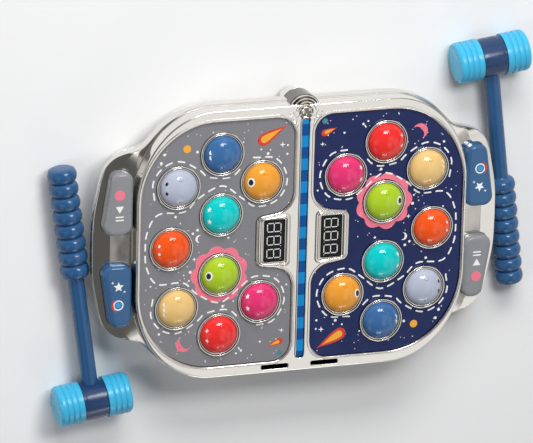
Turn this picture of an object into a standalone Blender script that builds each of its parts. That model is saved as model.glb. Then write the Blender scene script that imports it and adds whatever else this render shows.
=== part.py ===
"""Two-player mole pounding game: console with eighteen lit mole domes, and two mallets.

Metres, +Z up. The origin is on the table under the middle of the console, +X runs along
the console's long axis towards the navy player's end.
"""

import math

import bmesh
import bpy
from mathutils import Matrix, Vector

for old in list(bpy.data.objects):
    bpy.data.objects.remove(old)

# Clearances shared by every fit
GAP = 0.0003            # between pieces that rest on each other
SLIDE_GAP = 0.0005      # round a piece that moves in a hole
OVERRUN = 0.002         # how far a cutter runs past the face that it cuts

# Case: plan sizes
BASE_HALF_LENGTH = 0.2235    # centre to the end of the end deck
CASE_HALF_WIDTH = 0.148
BASE_SHARES = (              # a quarter of the case's outline, as shares of those two
    (0.998, 0.135), (0.990, 0.270), (0.973, 0.405), (0.960, 0.500), (0.940, 0.585),
    (0.898, 0.652), (0.844, 0.688), (0.790, 0.708), (0.754, 0.737), (0.714, 0.801),
    (0.661, 0.878), (0.599, 0.939), (0.528, 0.981), (0.444, 1.0))
DRAW_IN_SHARE = 0.955        # foot of the lower case against its top
END_GROOVE_SHARE = 0.4055     # shallow upright grooves in the end wall, across half the width
END_GROOVE_PLACE = CASE_HALF_WIDTH * END_GROOVE_SHARE
END_GROOVE_WIDTH = 0.008
END_GROOVE_DEPTH = 0.0016
END_GROOVE_INSET = 0.006     # end of the case to the wall's face at the grooves
END_GROOVE_FACE = BASE_HALF_LENGTH - END_GROOVE_INSET
END_DECK_LENGTH = 0.042      # platform to the end of the case
SIDE_LEDGE = 0.0015          # platform to the side of the case
PLATFORM_HALF_LENGTH = BASE_HALF_LENGTH - END_DECK_LENGTH
PLATFORM_HALF_WIDTH = CASE_HALF_WIDTH - SIDE_LEDGE
PLATFORM_CHAMFER = 0.0025
CORNER_SHARES = (0.5344, 0.3345)     # centre of the platform's and the panels' elliptic corners
CORNER_CENTRE_X = PLATFORM_HALF_LENGTH * CORNER_SHARES[0]
CORNER_CENTRE_Y = PLATFORM_HALF_WIDTH * CORNER_SHARES[1]

# Case: heights
FOOT_HEIGHT = 0.003          # the feet hold the case this far off the table
LOWER_HEIGHT = 0.027
LOWER_CHAMFER = 0.004
DECK_RISE = 0.012            # case split to the end deck
DECK_FALL = 0.005            # how far the deck slopes down at its end
DECK_EDGE = 0.0015           # chamfer along the deck's sides
DECK_SLOPE_LENGTH = 0.016
DECK_SLOPE_REACH = 0.0405    # end of the case to where the deck's outline starts to take the slope
DECK_SLOPE_INSET = 0.015     # end of the case to where it has the whole of it
DECK_SLOPE_START = BASE_HALF_LENGTH - DECK_SLOPE_REACH
DECK_SLOPE_FULL = BASE_HALF_LENGTH - DECK_SLOPE_INSET
PLATFORM_RISE = 0.012        # end deck to the panels' seat
RIM_HEIGHT = 0.005           # the panels' seat to the top of the rim
WALL = 0.003
FLOOR = 0.0025
ROOF = 0.0025

# Stepped half-round boss at the far end of the centre line
BOSS_INSET = 0.0085          # side of the platform to the boss's centre
BOSS_PLACE = PLATFORM_HALF_WIDTH - BOSS_INSET
BOSS_RADIUS = 0.018
BOSS_STEP_WIDTH = 0.003
BOSS_STEP_HEIGHT = 0.003
BOSS_STEPS = 3
BOSS_FOOT_RADIUS = 0.012

# Printed play panels
PANEL_THICKNESS = 0.002
PANEL_INNER_X = 0.011
RIM_WIDTH = 0.0045           # panel to the end of the platform
BORDER_WIDTH = 0.0125        # panel to the side of the platform
PANEL_OUTER_X = PLATFORM_HALF_LENGTH - RIM_WIDTH
PANEL_HALF_WIDTH = PLATFORM_HALF_WIDTH - BORDER_WIDTH
PANEL_INNER_RADIUS = 0.015
PANEL_FIT = 0.0004
NOTCH_REACH = 0.0513
NOTCH_HALF_WIDTH = 0.0313
NOTCH_RADIUS = 0.008
NOTCH_MOUTH_RADIUS = 0.022

# Mole domes
MOLE_RADIUS = 0.020
MOLE_RISE = 0.0095           # rim of the case to the top of the dome
MOLE_WALL = 0.002
MOLE_FLANGE_WIDTH = 0.002
MOLE_FLANGE_THICKNESS = 0.0015
MOLE_TRAVEL = 0.0035
COLLAR_WIDTH = 0.003
MOLE_SEGMENTS = 14
HOLE_SEGMENTS = 18
PAD_SEGMENTS = 10
MOLE_SPRING = 0.0012         # rim of the case down to where the dome starts to curve
MOLE_ROW_SHARE = 0.2463      # rows lie at whole numbers of this share of the panel's half-width
MOLE_COLUMN_SHARES = (0.2600, 0.5085, 0.7740, 0.8136)     # columns, as shares of the panels' reach
MOLE_ROW = PANEL_HALF_WIDTH * MOLE_ROW_SHARE
MOLE_INNER_X, MOLE_MIDDLE_X, MOLE_OUTER_X, MOLE_TIP_X = (
    PANEL_OUTER_X * share for share in MOLE_COLUMN_SHARES)

# Light bar and its board
BAR_WIDTH = 0.0081
BAR_INSET = 0.002            # panels' end to the bar's end
BAR_HALF_LENGTH = PANEL_HALF_WIDTH - BAR_INSET
BAR_FLANGE_WIDTH = 0.002
BAR_FLANGE_THICKNESS = 0.002
BAR_SINK = 0.0004            # how far its top lies below the rim
STRIP_WIDTH = 0.014
BOARD_THICKNESS = 0.0016

# Displays
DISPLAY_X = 0.0315
FRAME_WIDTH = 0.036
FRAME_LENGTH = 0.0605
FRAME_RISE = 0.0015
FRAME_RADIUS = 0.006
FRAME_STEP = 0.003
WINDOW_WIDTH = 0.023
WINDOW_LENGTH = 0.046
WINDOW_THICKNESS = 0.0015
WINDOW_LEDGE = 0.0012
WINDOW_RADIUS = 0.0015
WINDOW_SINK = 0.001          # rim down to the window's face
MODULE_FIT = 0.0005

# Mole boards and rubber mats
BOARD_DROP = 0.0085          # roof underside to the board's top
BOARD_MARGIN = 0.009
MAT_MARGIN = 0.010
MAT_THICKNESS = 0.001
PAD_RADIUS = 0.0215
PEG_RADIUS = 0.003
PEG_FIT = 0.001
PEG_INSET = 0.022            # panels' edge to the pegs
PEG_INNER_Y = PANEL_HALF_WIDTH - PEG_INSET
PEG_OUTER_X = PANEL_OUTER_X - PEG_INSET
PEG_OUTER_Y = MOLE_ROW + PEG_FIT

# End buttons
BUTTON_CLEARANCE = 0.0017    # platform to the button
BUTTON_INSET = 0.007         # button to the end of the case
BUTTON_INNER_X = PLATFORM_HALF_LENGTH + BUTTON_CLEARANCE
BUTTON_OUTER_X = BASE_HALF_LENGTH - BUTTON_INSET
BUTTON_TAPER = 0.0105        # how far the outer edge leans in at the far corner
BUTTON_LOW_Y = 0.0165
BUTTON_SIDE_INSET = 0.0632   # button to the side of the case
BUTTON_HIGH_Y = CASE_HALF_WIDTH - BUTTON_SIDE_INSET
BUTTON_CORNER = 0.0105
BUTTON_RISE = 0.0105         # deck to the top of the button
BUTTON_EDGE = 0.0035
BUTTON_CROWN_SHARE = 0.86
BUTTON_WALL = 0.0025
BUTTON_FLANGE_WIDTH = 0.001
BUTTON_FLANGE_THICKNESS = 0.002
BUTTON_SKIRT = 0.0098        # deck down to the underside of the flange
BUTTON_TRAVEL = 0.003
PLUNGER_RADIUS = 0.004
PLUNGER_INSET = 0.0078       # button's inner side to the plunger's axis
PLUNGER_X = BUTTON_INNER_X + PLUNGER_INSET
BUTTON_BOARD_WIDTH = 0.018
BUTTON_BOARD_INSET = 0.0128   # button's end to the board's end
BUTTON_BOARD_HALF_LENGTH = BUTTON_HIGH_Y - BUTTON_BOARD_INSET
BUTTON_BOARD_DROP = 0.003     # case split down to the board's top
BUTTON_BOARD_OFFSET = 0.0038  # button's inner side to the board's middle
BUTTON_BOARD_X = BUTTON_INNER_X + BUTTON_BOARD_OFFSET
BUTTON_BOARD_POST_Y = 0.048
POST_RADIUS = 0.0035

# Case posts
CASE_POST_SHARE = 0.595      # of the platform's half-length
CASE_POST_INSET = 0.015      # platform's side to the posts
END_POST_INSET = 0.0225      # end of the case to the end posts
CASE_POST_X = PLATFORM_HALF_LENGTH * CASE_POST_SHARE
CASE_POST_Y = PLATFORM_HALF_WIDTH - CASE_POST_INSET
END_POST_X = BASE_HALF_LENGTH - END_POST_INSET
SCREW_HOLE_RADIUS = 0.0016
SCREW_HEAD_HOLE_RADIUS = 0.0024
SCREW_HEAD_HOLE_DEPTH = 0.010

# Coin slots and drawer
COIN_SLOT_LENGTH = 0.030
COIN_SLOT_WIDTH = 0.005
COIN_SLOT_X = 0.0275
COIN_SLOT_INSET = 0.0065     # platform's side to the slots
COIN_SLOT_Y = PLATFORM_HALF_WIDTH - COIN_SLOT_INSET
DRAWER_HALF_WIDTH = 0.048
DRAWER_DEPTH = 0.054
DRAWER_HEIGHT = 0.015
DRAWER_WALL = 0.002
DRAWER_FIT = 0.001
DRAWER_FRONT_MARGIN = 0.0035
DRAWER_FRONT_THICKNESS = 0.004
DRAWER_LIFT = 0.0015
RAIL_WIDTH = 0.004
RAIL_PLACE_SHARE = 0.82
RAIL_LENGTH = 0.036
DRAWER_FRONT_DROP = 0.002     # how far its front hangs below the tray

# Slide switch on the long side
SWITCH_SPACING = 0.0095      # drawer's front to the plate
SWITCH_Z = 0.016
SWITCH_PLATE_LENGTH = 0.038
SWITCH_X = DRAWER_HALF_WIDTH + DRAWER_FRONT_MARGIN + SWITCH_SPACING + SWITCH_PLATE_LENGTH / 2
SWITCH_PLATE_HEIGHT = 0.016
SWITCH_PLATE_THICKNESS = 0.0015
SWITCH_KNOB_RADIUS = 0.0065
SWITCH_KNOB_THICKNESS = 0.004
SWITCH_STEM = 0.004
SWITCH_TRAVEL = 0.008
SWITCH_SHOE = 0.009
SWITCH_SHOE_THICKNESS = 0.002

# Battery compartment
CELL_RADIUS = 0.0072
CELL_LENGTH = 0.0495
CELL_NUB_RADIUS = 0.0026
CELL_NUB_LENGTH = 0.001
CELL_PITCH = 0.0150
CELL_COUNT = 3
BATTERY_INSET = 0.059        # side of the case to the middle of the cells
BATTERY_Y = CASE_HALF_WIDTH - BATTERY_INSET
BATTERY_END_ROOM = 0.004
BATTERY_STEP = 0.0035
BATTERY_WALL = 0.0025
BATTERY_ROOM = 0.0005        # round the cells
DOOR_TAB = 0.009             # the end of the door that takes the screw
DOOR_THICKNESS = 0.002
CONTACT_THICKNESS = 0.0008
DOOR_SCREW_RADIUS = 0.0013
DOOR_SCREW_HEAD_RADIUS = 0.003
DOOR_SCREW_HEAD_HEIGHT = 0.001
DOOR_SCREW_LENGTH = 0.008

# Speaker
SPEAKER_SHARE = 0.38         # of the case's half-length
SPEAKER_X = BASE_HALF_LENGTH * SPEAKER_SHARE
SPEAKER_RADIUS = 0.025
SPEAKER_HEIGHT = 0.014
SPEAKER_RIM = 0.002
SPEAKER_RIM_HEIGHT = 0.004
GRILLE_SLOTS = 5
GRILLE_PITCH = 0.007
GRILLE_WIDTH = 0.0025

# Rubber feet
FOOT_SHARE = 0.671           # of the case's half-length
FOOT_INSET = 0.056           # side of the case to the feet
FOOT_X = BASE_HALF_LENGTH * FOOT_SHARE
FOOT_Y = CASE_HALF_WIDTH - FOOT_INSET
FOOT_RADIUS = 0.008
FOOT_SINK = 0.0006

# Mallets
HEAD_INSET = 0.007           # end of the case to the head's middle
HEAD_GAP = 0.024             # side of the case to the head's middle
HEAD_X = BASE_HALF_LENGTH - HEAD_INSET
HEAD_Y = CASE_HALF_WIDTH + HEAD_GAP
HEAD_RADIUS = 0.022
HEAD_HALF_LENGTH = 0.040
CORE_RADIUS = 0.0205
CORE_HALF_LENGTH = 0.013
SPIGOT_RADIUS = 0.0165
SPIGOT_HALF_LENGTH = 0.032
CAP_GROOVE = 0.0010
CAP_RIDGE_PITCH = 0.006
CAP_RIDGES = 3
CAP_ROUND = 0.006
SHAFT_RADIUS = 0.0085
SHAFT_END = 0.138            # head centre to the grip
RIB_RADIUS = 0.0155
RIB_VALLEY_RADIUS = 0.0115
RIB_PITCH = 0.015
RIB_COUNT = 8
MALLET_LEAN = math.radians(7.75)
MALLET_SEGMENTS = 12
RIB_RISE_SHARE = 0.27        # of each rib's length, from its valley to its crest

# Heights that follow from the sizes above
FLOOR_Z = FOOT_HEIGHT
SPLIT_Z = FLOOR_Z + LOWER_HEIGHT
DECK_Z = SPLIT_Z + DECK_RISE
SEAT_Z = DECK_Z + PLATFORM_RISE
RIM_Z = SEAT_Z + RIM_HEIGHT
ROOF_Z = SEAT_Z - ROOF
DECK_UNDER_Z = DECK_Z - ROOF
INNER_FLOOR_Z = FLOOR_Z + FLOOR
FRAME_Z = RIM_Z + FRAME_RISE
BOARD_TOP_Z = ROOF_Z - BOARD_DROP
MOLE_HOLE_RADIUS = MOLE_RADIUS + SLIDE_GAP
COLLAR_RADIUS = MOLE_HOLE_RADIUS + COLLAR_WIDTH


def finish(name, colour, roughness, metallic=0.0, clear=0.0):
    """A Principled material with one colour."""
    material = bpy.data.materials.new(name)
    material.use_nodes = True
    shader = material.node_tree.nodes["Principled BSDF"]
    shader.inputs["Base Color"].default_value = (*colour, 1)
    shader.inputs["Roughness"].default_value = roughness
    shader.inputs["Metallic"].default_value = metallic
    shader.inputs["Transmission Weight"].default_value = clear
    return material


SILVER = finish("silver", (0.80, 0.80, 0.78), 0.08, 1.0)
LOWER_SILVER = finish("lower_silver", (0.62, 0.63, 0.64), 0.3, 0.6)
GREY_PANEL = finish("grey_panel", (0.20, 0.20, 0.21), 0.35)
NAVY_PANEL = finish("navy_panel", (0.012, 0.025, 0.085), 0.35)
DISPLAY_BLACK = finish("display_black", (0.008, 0.008, 0.010), 0.15)
BAR_BLUE = finish("bar_blue", (0.03, 0.30, 0.75), 0.25)
BUTTON_GREY = finish("button_grey", (0.27, 0.28, 0.29), 0.3)
BUTTON_BLUE = finish("button_blue", (0.045, 0.15, 0.29), 0.3)
MALLET_BLUE = finish("mallet_blue", (0.04, 0.12, 0.24), 0.3)
CAP_CYAN = finish("cap_cyan", (0.05, 0.55, 0.75), 0.3)
DARK_TEAL = finish("dark_teal", (0.02, 0.10, 0.13), 0.4)
RUBBER = finish("rubber", (0.03, 0.03, 0.03), 0.8)
MAT_RUBBER = finish("mat_rubber", (0.75, 0.75, 0.72), 0.6)
BOARD_GREEN = finish("board_green", (0.02, 0.16, 0.06), 0.5)
STEEL = finish("steel", (0.6, 0.6, 0.6), 0.3, 1.0)
CELL = finish("cell", (0.05, 0.05, 0.06), 0.4)
CONE_BLACK = finish("cone_black", (0.02, 0.02, 0.02), 0.7)

MOLE_COLOURS = {
    "amber": (0.83, 0.36, 0.05),
    "pink": (0.75, 0.04, 0.19),
    "blue": (0.04, 0.16, 0.35),
    "teal": (0.0, 0.52, 0.52),
    "lime": (0.44, 0.60, 0.04),
    "red": (0.83, 0.05, 0.04),
    "grey": (0.55, 0.57, 0.63),
    "orange": (0.84, 0.10, 0.01),
    "beige": (0.75, 0.58, 0.33),
}

# Places of the grey half's moles, seen from above; the navy half is turned half round
MOLE_PLACES = {
    "amber": (-MOLE_INNER_X, 2 * MOLE_ROW),
    "pink": (-MOLE_INNER_X, -2 * MOLE_ROW),
    "blue": (-MOLE_MIDDLE_X, 3 * MOLE_ROW),
    "teal": (-MOLE_MIDDLE_X, MOLE_ROW),
    "lime": (-MOLE_MIDDLE_X, -MOLE_ROW),
    "red": (-MOLE_MIDDLE_X, -3 * MOLE_ROW),
    "grey": (-MOLE_OUTER_X, 2 * MOLE_ROW),
    "orange": (-MOLE_TIP_X, 0.0),
    "beige": (-MOLE_OUTER_X, -2 * MOLE_ROW),
}
SIDES = {"left": -1, "right": 1}


def arc(centre, radii, start, end, steps):
    """Points on an ellipse's arc, from start to end in degrees, both ends included."""
    points = []
    for step in range(steps + 1):
        angle = math.radians(start + (end - start) * step / steps)
        points.append((centre[0] + radii[0] * math.cos(angle), centre[1] + radii[1] * math.sin(angle)))
    return points


def four_way(quarter):
    """A whole outline from its first quadrant, which runs from the X axis towards the Y axis."""
    half = quarter + [(-x, y) for x, y in reversed(quarter)]
    return half + [(-x, -y) for x, y in half]


def rounded(corners, radius, steps=3):
    """An anticlockwise outline with each corner rounded to the radius."""
    points = []
    for index, corner in enumerate(corners):
        here = Vector(corner)
        before = (Vector(corners[index - 1]) - here).normalized()
        after = (Vector(corners[(index + 1) % len(corners)]) - here).normalized()
        half = before.angle(after) / 2
        centre = here + (before + after).normalized() * radius / math.sin(half)
        first = here + before * radius / math.tan(half) - centre
        turn = math.pi - 2 * half
        for step in range(steps + 1):
            points.append(tuple(centre + Matrix.Rotation(turn * step / steps, 2) @ first))
    return points


def rectangle(low_x, low_y, high_x, high_y):
    return [(low_x, low_y), (high_x, low_y), (high_x, high_y), (low_x, high_y)]


def rectangle_at(x, y, length, width):
    return rectangle(x - length / 2, y - width / 2, x + length / 2, y + width / 2)


def shrunk(outline, distance):
    """The outline moved in by a distance, each side parallel to itself."""
    points = []
    for index, corner in enumerate(outline):
        here = Vector(corner)
        into = (here - Vector(outline[index - 1])).normalized()
        away = (Vector(outline[(index + 1) % len(outline)]) - here).normalized()
        inward = Vector((-into.y - away.y, into.x + away.x)).normalized()
        share = inward.dot(Vector((-into.y, into.x)))
        points.append(tuple(here + inward * distance / share))
    return points


def scaled(outline, share):
    return [(x * share, y * share) for x, y in outline]


def drawn_to_middle(outline, share):
    """The outline scaled about its own middle."""
    middle_x = sum(x for x, _ in outline) / len(outline)
    middle_y = sum(y for _, y in outline) / len(outline)
    return [(middle_x + (x - middle_x) * share, middle_y + (y - middle_y) * share) for x, y in outline]


def level(outline, z):
    return [(x, y, z) for x, y in outline]


def add_layers(mesh, rings, placing=None):
    """One closed body through rings of equal counts, from the lowest to the highest."""
    made = [[mesh.verts.new(point) for point in ring] for ring in rings]
    for lower, upper in zip(made, made[1:]):
        count = len(lower)
        for index in range(count):
            after = (index + 1) % count
            mesh.faces.new((lower[index], lower[after], upper[after]))
            mesh.faces.new((lower[index], upper[after], upper[index]))
    mesh.faces.new(list(reversed(made[0])))
    mesh.faces.new(made[-1])
    if placing is not None:
        bmesh.ops.transform(mesh, matrix=placing, verts=[vert for ring in made for vert in ring])


def add_slab(mesh, outline, low, high, placing=None):
    add_layers(mesh, (level(outline, low), level(outline, high)), placing)


def add_turned(mesh, profile, segments, placing=None):
    """One closed body turned about Z from (radius, height) points that start and end on the axis."""
    made = []
    for radius, height in profile:
        if radius == 0:
            made.append([mesh.verts.new((0, 0, height))])
            continue
        angles = [math.tau * index / segments for index in range(segments)]
        made.append([
            mesh.verts.new((radius * math.cos(angle), radius * math.sin(angle), height))
            for angle in angles])
    for lower, upper in zip(made, made[1:]):
        for index in range(segments):
            after = (index + 1) % segments
            corners = (
                lower[index % len(lower)], lower[after % len(lower)],
                upper[after % len(upper)], upper[index % len(upper)])
            mesh.faces.new(list(dict.fromkeys(corners)))
    if placing is not None:
        bmesh.ops.transform(mesh, matrix=placing, verts=[vert for ring in made for vert in ring])


def add_round(mesh, x, y, radius, low, high, segments):
    """An upright cylinder."""
    profile = ((0, low), (radius, low), (radius, high), (0, high))
    add_turned(mesh, profile, segments, Matrix.Translation((x, y, 0)))


def make(name, build, material=None, place=(0, 0, 0), smooth=False):
    """An object from a function that fills a mesh in the row's frame, with its origin at the place."""
    mesh = bmesh.new()
    build(mesh)
    bmesh.ops.recalc_face_normals(mesh, faces=mesh.faces)
    bmesh.ops.translate(mesh, verts=mesh.verts, vec=-Vector(place))
    data = bpy.data.meshes.new(name)
    mesh.to_mesh(data)
    mesh.free()
    item = bpy.data.objects.new(name, data)
    bpy.context.collection.objects.link(item)
    item.location = place
    if material is not None:
        data.materials.append(material)
    if smooth:
        data.shade_smooth()
        data.set_sharp_from_angle(angle=math.radians(40))
    return item


def change(item, operation, builds):
    """Adds to or cuts from an item, in one step, with bodies that functions build."""
    modifier = item.modifiers.new(operation.lower(), "BOOLEAN")
    modifier.operation = operation
    modifier.solver = "EXACT"
    modifier.operand_type = "COLLECTION"
    modifier.collection = bpy.data.collections.new(f"{item.name}_tools")
    for build in builds:
        tool = make(f"{item.name}_tool", build)
        tool.hide_render = True
        tool.display_type = "WIRE"
        modifier.collection.objects.link(tool)


def join(item, *builds):
    change(item, "UNION", builds)


def cut(item, *builds):
    change(item, "DIFFERENCE", builds)


# Shared outlines
BASE_OUTLINE = four_way([(BASE_HALF_LENGTH * x, CASE_HALF_WIDTH * y) for x, y in BASE_SHARES])
CORNER_STEPS = 7
PLATFORM_OUTLINE = four_way(arc(
    (CORNER_CENTRE_X, CORNER_CENTRE_Y),
    (PLATFORM_HALF_LENGTH - CORNER_CENTRE_X, PLATFORM_HALF_WIDTH - CORNER_CENTRE_Y), 0, 90, CORNER_STEPS))


def mirrored_ends(upper):
    """A right-hand outline from the upper half of it, which runs from the outer end inwards."""
    return [(x, -y) for x, y in reversed(upper)] + upper


def panel_outline():
    """The right-hand panel, with its notch round the display."""
    upper = arc(
        (CORNER_CENTRE_X, CORNER_CENTRE_Y),
        (PANEL_OUTER_X - CORNER_CENTRE_X, PANEL_HALF_WIDTH - CORNER_CENTRE_Y), 0, 90, CORNER_STEPS)
    inner = PANEL_INNER_X + PANEL_INNER_RADIUS
    upper += arc((inner, PANEL_HALF_WIDTH - PANEL_INNER_RADIUS), (PANEL_INNER_RADIUS,) * 2, 90, 180, 4)
    mouth = (PANEL_INNER_X + NOTCH_MOUTH_RADIUS, NOTCH_HALF_WIDTH + NOTCH_MOUTH_RADIUS)
    upper += arc(mouth, (NOTCH_MOUTH_RADIUS,) * 2, 180, 270, 4)
    corner = (NOTCH_REACH - NOTCH_RADIUS, NOTCH_HALF_WIDTH - NOTCH_RADIUS)
    upper += arc(corner, (NOTCH_RADIUS,) * 2, 90, 0, 3)
    return mirrored_ends(upper)


def board_outline():
    """The right-hand mole board."""
    upper = arc(
        (CORNER_CENTRE_X, CORNER_CENTRE_Y),
        (PANEL_OUTER_X - BOARD_MARGIN - CORNER_CENTRE_X, PANEL_HALF_WIDTH - BOARD_MARGIN - CORNER_CENTRE_Y),
        0, 90, 4)
    return mirrored_ends(upper + [(PANEL_INNER_X, PANEL_HALF_WIDTH - BOARD_MARGIN)])


PANEL_OUTLINE = panel_outline()
BOARD_OUTLINE = board_outline()
PEG_PLACES = (
    (MOLE_INNER_X, PEG_INNER_Y), (MOLE_INNER_X, -PEG_INNER_Y),
    (PEG_OUTER_X, PEG_OUTER_Y), (PEG_OUTER_X, -PEG_OUTER_Y))
CASE_POSTS = [(x * CASE_POST_X, y * CASE_POST_Y) for x in (-1, 1) for y in (-1, 1)]
CASE_POSTS += [(-END_POST_X, 0), (END_POST_X, 0)]
BOARD_POSTS = [(x * BUTTON_BOARD_X, y * BUTTON_BOARD_POST_Y) for x in (-1, 1) for y in (-1, 1)]
FRAME_OUTLINE = rounded(rectangle_at(DISPLAY_X, 0, FRAME_WIDTH, FRAME_LENGTH), FRAME_RADIUS)
WINDOW_OUTLINE = rounded(rectangle_at(DISPLAY_X, 0, WINDOW_WIDTH, WINDOW_LENGTH), WINDOW_RADIUS, 2)
WINDOW_TOP_Z = RIM_Z - WINDOW_SINK
MOLE_POINTS = [(side * -x, side * -y) for side in SIDES.values() for x, y in MOLE_PLACES.values()]


def bar_outline(margin, half_length):
    """The light bar's outline, square at its ends, with a margin all round."""
    return rectangle_at(0, 0, BAR_WIDTH + 2 * margin, 2 * (half_length + margin))


def slope_share(x):
    """How much of the end slope an outline's point takes."""
    share = (abs(x) - DECK_SLOPE_START) / (DECK_SLOPE_FULL - DECK_SLOPE_START)
    return min(1.0, max(0.0, share))


def deck_rings(inset, drop):
    """The deck's two upper rings: the wall's top edge and the flat's edge."""
    edge = []
    flat = []
    outline = shrunk(BASE_OUTLINE, inset)
    for (x, y), (flat_x, flat_y) in zip(outline, shrunk(outline, DECK_EDGE)):
        share = slope_share(x)
        fall = DECK_EDGE + (DECK_FALL - DECK_EDGE) * share
        edge.append((x, y, DECK_Z - fall - drop))
        flat.append((flat_x - math.copysign(DECK_SLOPE_LENGTH * share, x), flat_y, DECK_Z - drop))
    return edge, flat


def wall_share(z):
    """The lower case's outline at a height, as a share of its top."""
    low = FLOOR_Z + LOWER_CHAMFER
    return DRAW_IN_SHARE + (1 - DRAW_IN_SHARE) * (z - low) / (SPLIT_Z - GAP - low)


def add_end_grooves(mesh, low, high):
    """Shallow upright grooves in both end walls."""
    outer = BASE_HALF_LENGTH + OVERRUN
    depth = END_GROOVE_FACE - END_GROOVE_DEPTH
    for side in (-1, 1):
        for y in (-END_GROOVE_PLACE, END_GROOVE_PLACE):
            rings = []
            for z in (low, high):
                share = min(1.0, wall_share(z))
                flat = rectangle(depth * share, y - END_GROOVE_WIDTH / 2, outer, y + END_GROOVE_WIDTH / 2)
                rings.append([(x * side, y * side, z) for x, y in flat])
            add_layers(mesh, rings)


def end_button_outline():
    """The right-hand end's button on the far side."""
    corners = [
        (BUTTON_INNER_X, BUTTON_LOW_Y), (BUTTON_OUTER_X, BUTTON_LOW_Y),
        (BUTTON_OUTER_X - BUTTON_TAPER, BUTTON_HIGH_Y), (BUTTON_INNER_X, BUTTON_HIGH_Y)]
    return rounded(corners, BUTTON_CORNER)


def placed_button(outline, end, row):
    """The button outline at an end (-1 or 1) and a row (-1 or 1), kept anticlockwise."""
    points = [(x * end, y * row) for x, y in outline]
    if end * row < 0:
        points.reverse()
    return points


def build_upper_case():
    edge, flat = deck_rings(0, 0)

    def body(mesh):
        add_layers(mesh, (level(BASE_OUTLINE, SPLIT_Z), edge, flat))

    case = make("upper_case", body, SILVER, smooth=True)

    def platform(mesh):
        add_layers(mesh, (
            level(PLATFORM_OUTLINE, SPLIT_Z + OVERRUN),
            level(PLATFORM_OUTLINE, RIM_Z - PLATFORM_CHAMFER),
            level(shrunk(PLATFORM_OUTLINE, PLATFORM_CHAMFER), RIM_Z)))

    def boss(mesh):
        profile = [(0, SPLIT_Z)]
        for step in range(BOSS_STEPS):
            radius = BOSS_RADIUS - step * BOSS_STEP_WIDTH
            height = RIM_Z - (BOSS_STEPS - 1 - step) * BOSS_STEP_HEIGHT
            profile += [(radius, profile[-1][1]), (radius, height)]
        profile.append((0, RIM_Z))
        add_turned(mesh, profile, 20, Matrix.Translation((0, BOSS_PLACE, 0)))

    def cavity(mesh):
        lower_edge, lower_flat = deck_rings(WALL, ROOF)
        inner = shrunk(BASE_OUTLINE, WALL)
        add_layers(mesh, (level(inner, SPLIT_Z - OVERRUN), lower_edge, lower_flat))

    def platform_cavity(mesh):
        add_slab(mesh, shrunk(PLATFORM_OUTLINE, WALL), SPLIT_Z - OVERRUN, ROOF_Z)

    def seats(mesh):
        seat = shrunk(PANEL_OUTLINE, -PANEL_FIT)
        for side in SIDES.values():
            add_slab(mesh, scaled(seat, side), SEAT_Z, RIM_Z + OVERRUN)

    def raised(mesh):
        for x, y in MOLE_POINTS:
            add_round(mesh, x, y, COLLAR_RADIUS, ROOF_Z + ROOF / 2, RIM_Z, HOLE_SEGMENTS)
        step_z = RIM_Z + FRAME_RISE / 2
        for side in SIDES.values():
            frame = scaled(FRAME_OUTLINE, side)
            inner = shrunk(frame, FRAME_STEP)
            add_layers(mesh, (
                level(frame, ROOF_Z + ROOF / 2), level(frame, step_z),
                level(inner, step_z), level(inner, FRAME_Z)))

    def posts(mesh):
        for x, y in CASE_POSTS:
            top = DECK_UNDER_Z if y == 0 else ROOF_Z
            add_round(mesh, x, y, POST_RADIUS, SPLIT_Z, top + ROOF / 2, 8)
        for side in SIDES.values():
            for x, y in PEG_PLACES:
                add_round(mesh, side * x, side * y, PEG_RADIUS, BOARD_TOP_Z + GAP, ROOF_Z + ROOF / 2, 8)

    def holes(mesh):
        for x, y in MOLE_POINTS:
            add_round(mesh, x, y, MOLE_HOLE_RADIUS, ROOF_Z - OVERRUN, RIM_Z + OVERRUN, HOLE_SEGMENTS)
        ledge_z = WINDOW_TOP_Z - WINDOW_THICKNESS - GAP
        for side in SIDES.values():
            outer = scaled(shrunk(WINDOW_OUTLINE, -GAP), side)
            inner = shrunk(outer, WINDOW_LEDGE)
            add_layers(mesh, (
                level(inner, ROOF_Z - OVERRUN), level(inner, ledge_z),
                level(outer, ledge_z), level(outer, FRAME_Z + OVERRUN)))
        add_slab(mesh, bar_outline(GAP, BAR_HALF_LENGTH), ROOF_Z - OVERRUN, RIM_Z + OVERRUN)
        for end in (-1, 1):
            for row in (-1, 1):
                outline = shrunk(placed_button(end_button_outline(), end, row), -SLIDE_GAP)
                add_slab(mesh, outline, SPLIT_Z, DECK_Z + OVERRUN)
        for x in (-COIN_SLOT_X, COIN_SLOT_X):
            slot = rectangle_at(x, -COIN_SLOT_Y, COIN_SLOT_LENGTH, COIN_SLOT_WIDTH)
            add_slab(mesh, slot, ROOF_Z - OVERRUN, RIM_Z + OVERRUN)
        for x, y in CASE_POSTS:
            add_round(mesh, x, y, SCREW_HOLE_RADIUS, SPLIT_Z - OVERRUN, DECK_UNDER_Z - OVERRUN, 6)

    def grooves(mesh):
        add_end_grooves(mesh, SPLIT_Z - OVERRUN, DECK_Z - DECK_FALL)

    join(case, platform, boss)
    cut(case, cavity, platform_cavity, seats, grooves)
    join(case, raised, posts)
    cut(case, holes)
    return case


def battery_box(margin, low, high):
    """A block about the cells, with the tab's room at its right-hand end where a margin is given."""
    half = CELL_LENGTH / 2 + BATTERY_END_ROOM
    width = CELL_COUNT * CELL_PITCH / 2 + BATTERY_ROOM
    tab = DOOR_TAB if margin > 0 else 0
    outline = rectangle(
        -half - margin, BATTERY_Y - width - margin, half + margin + tab, BATTERY_Y + width + margin)
    return level(outline, low), level(outline, high)


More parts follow.
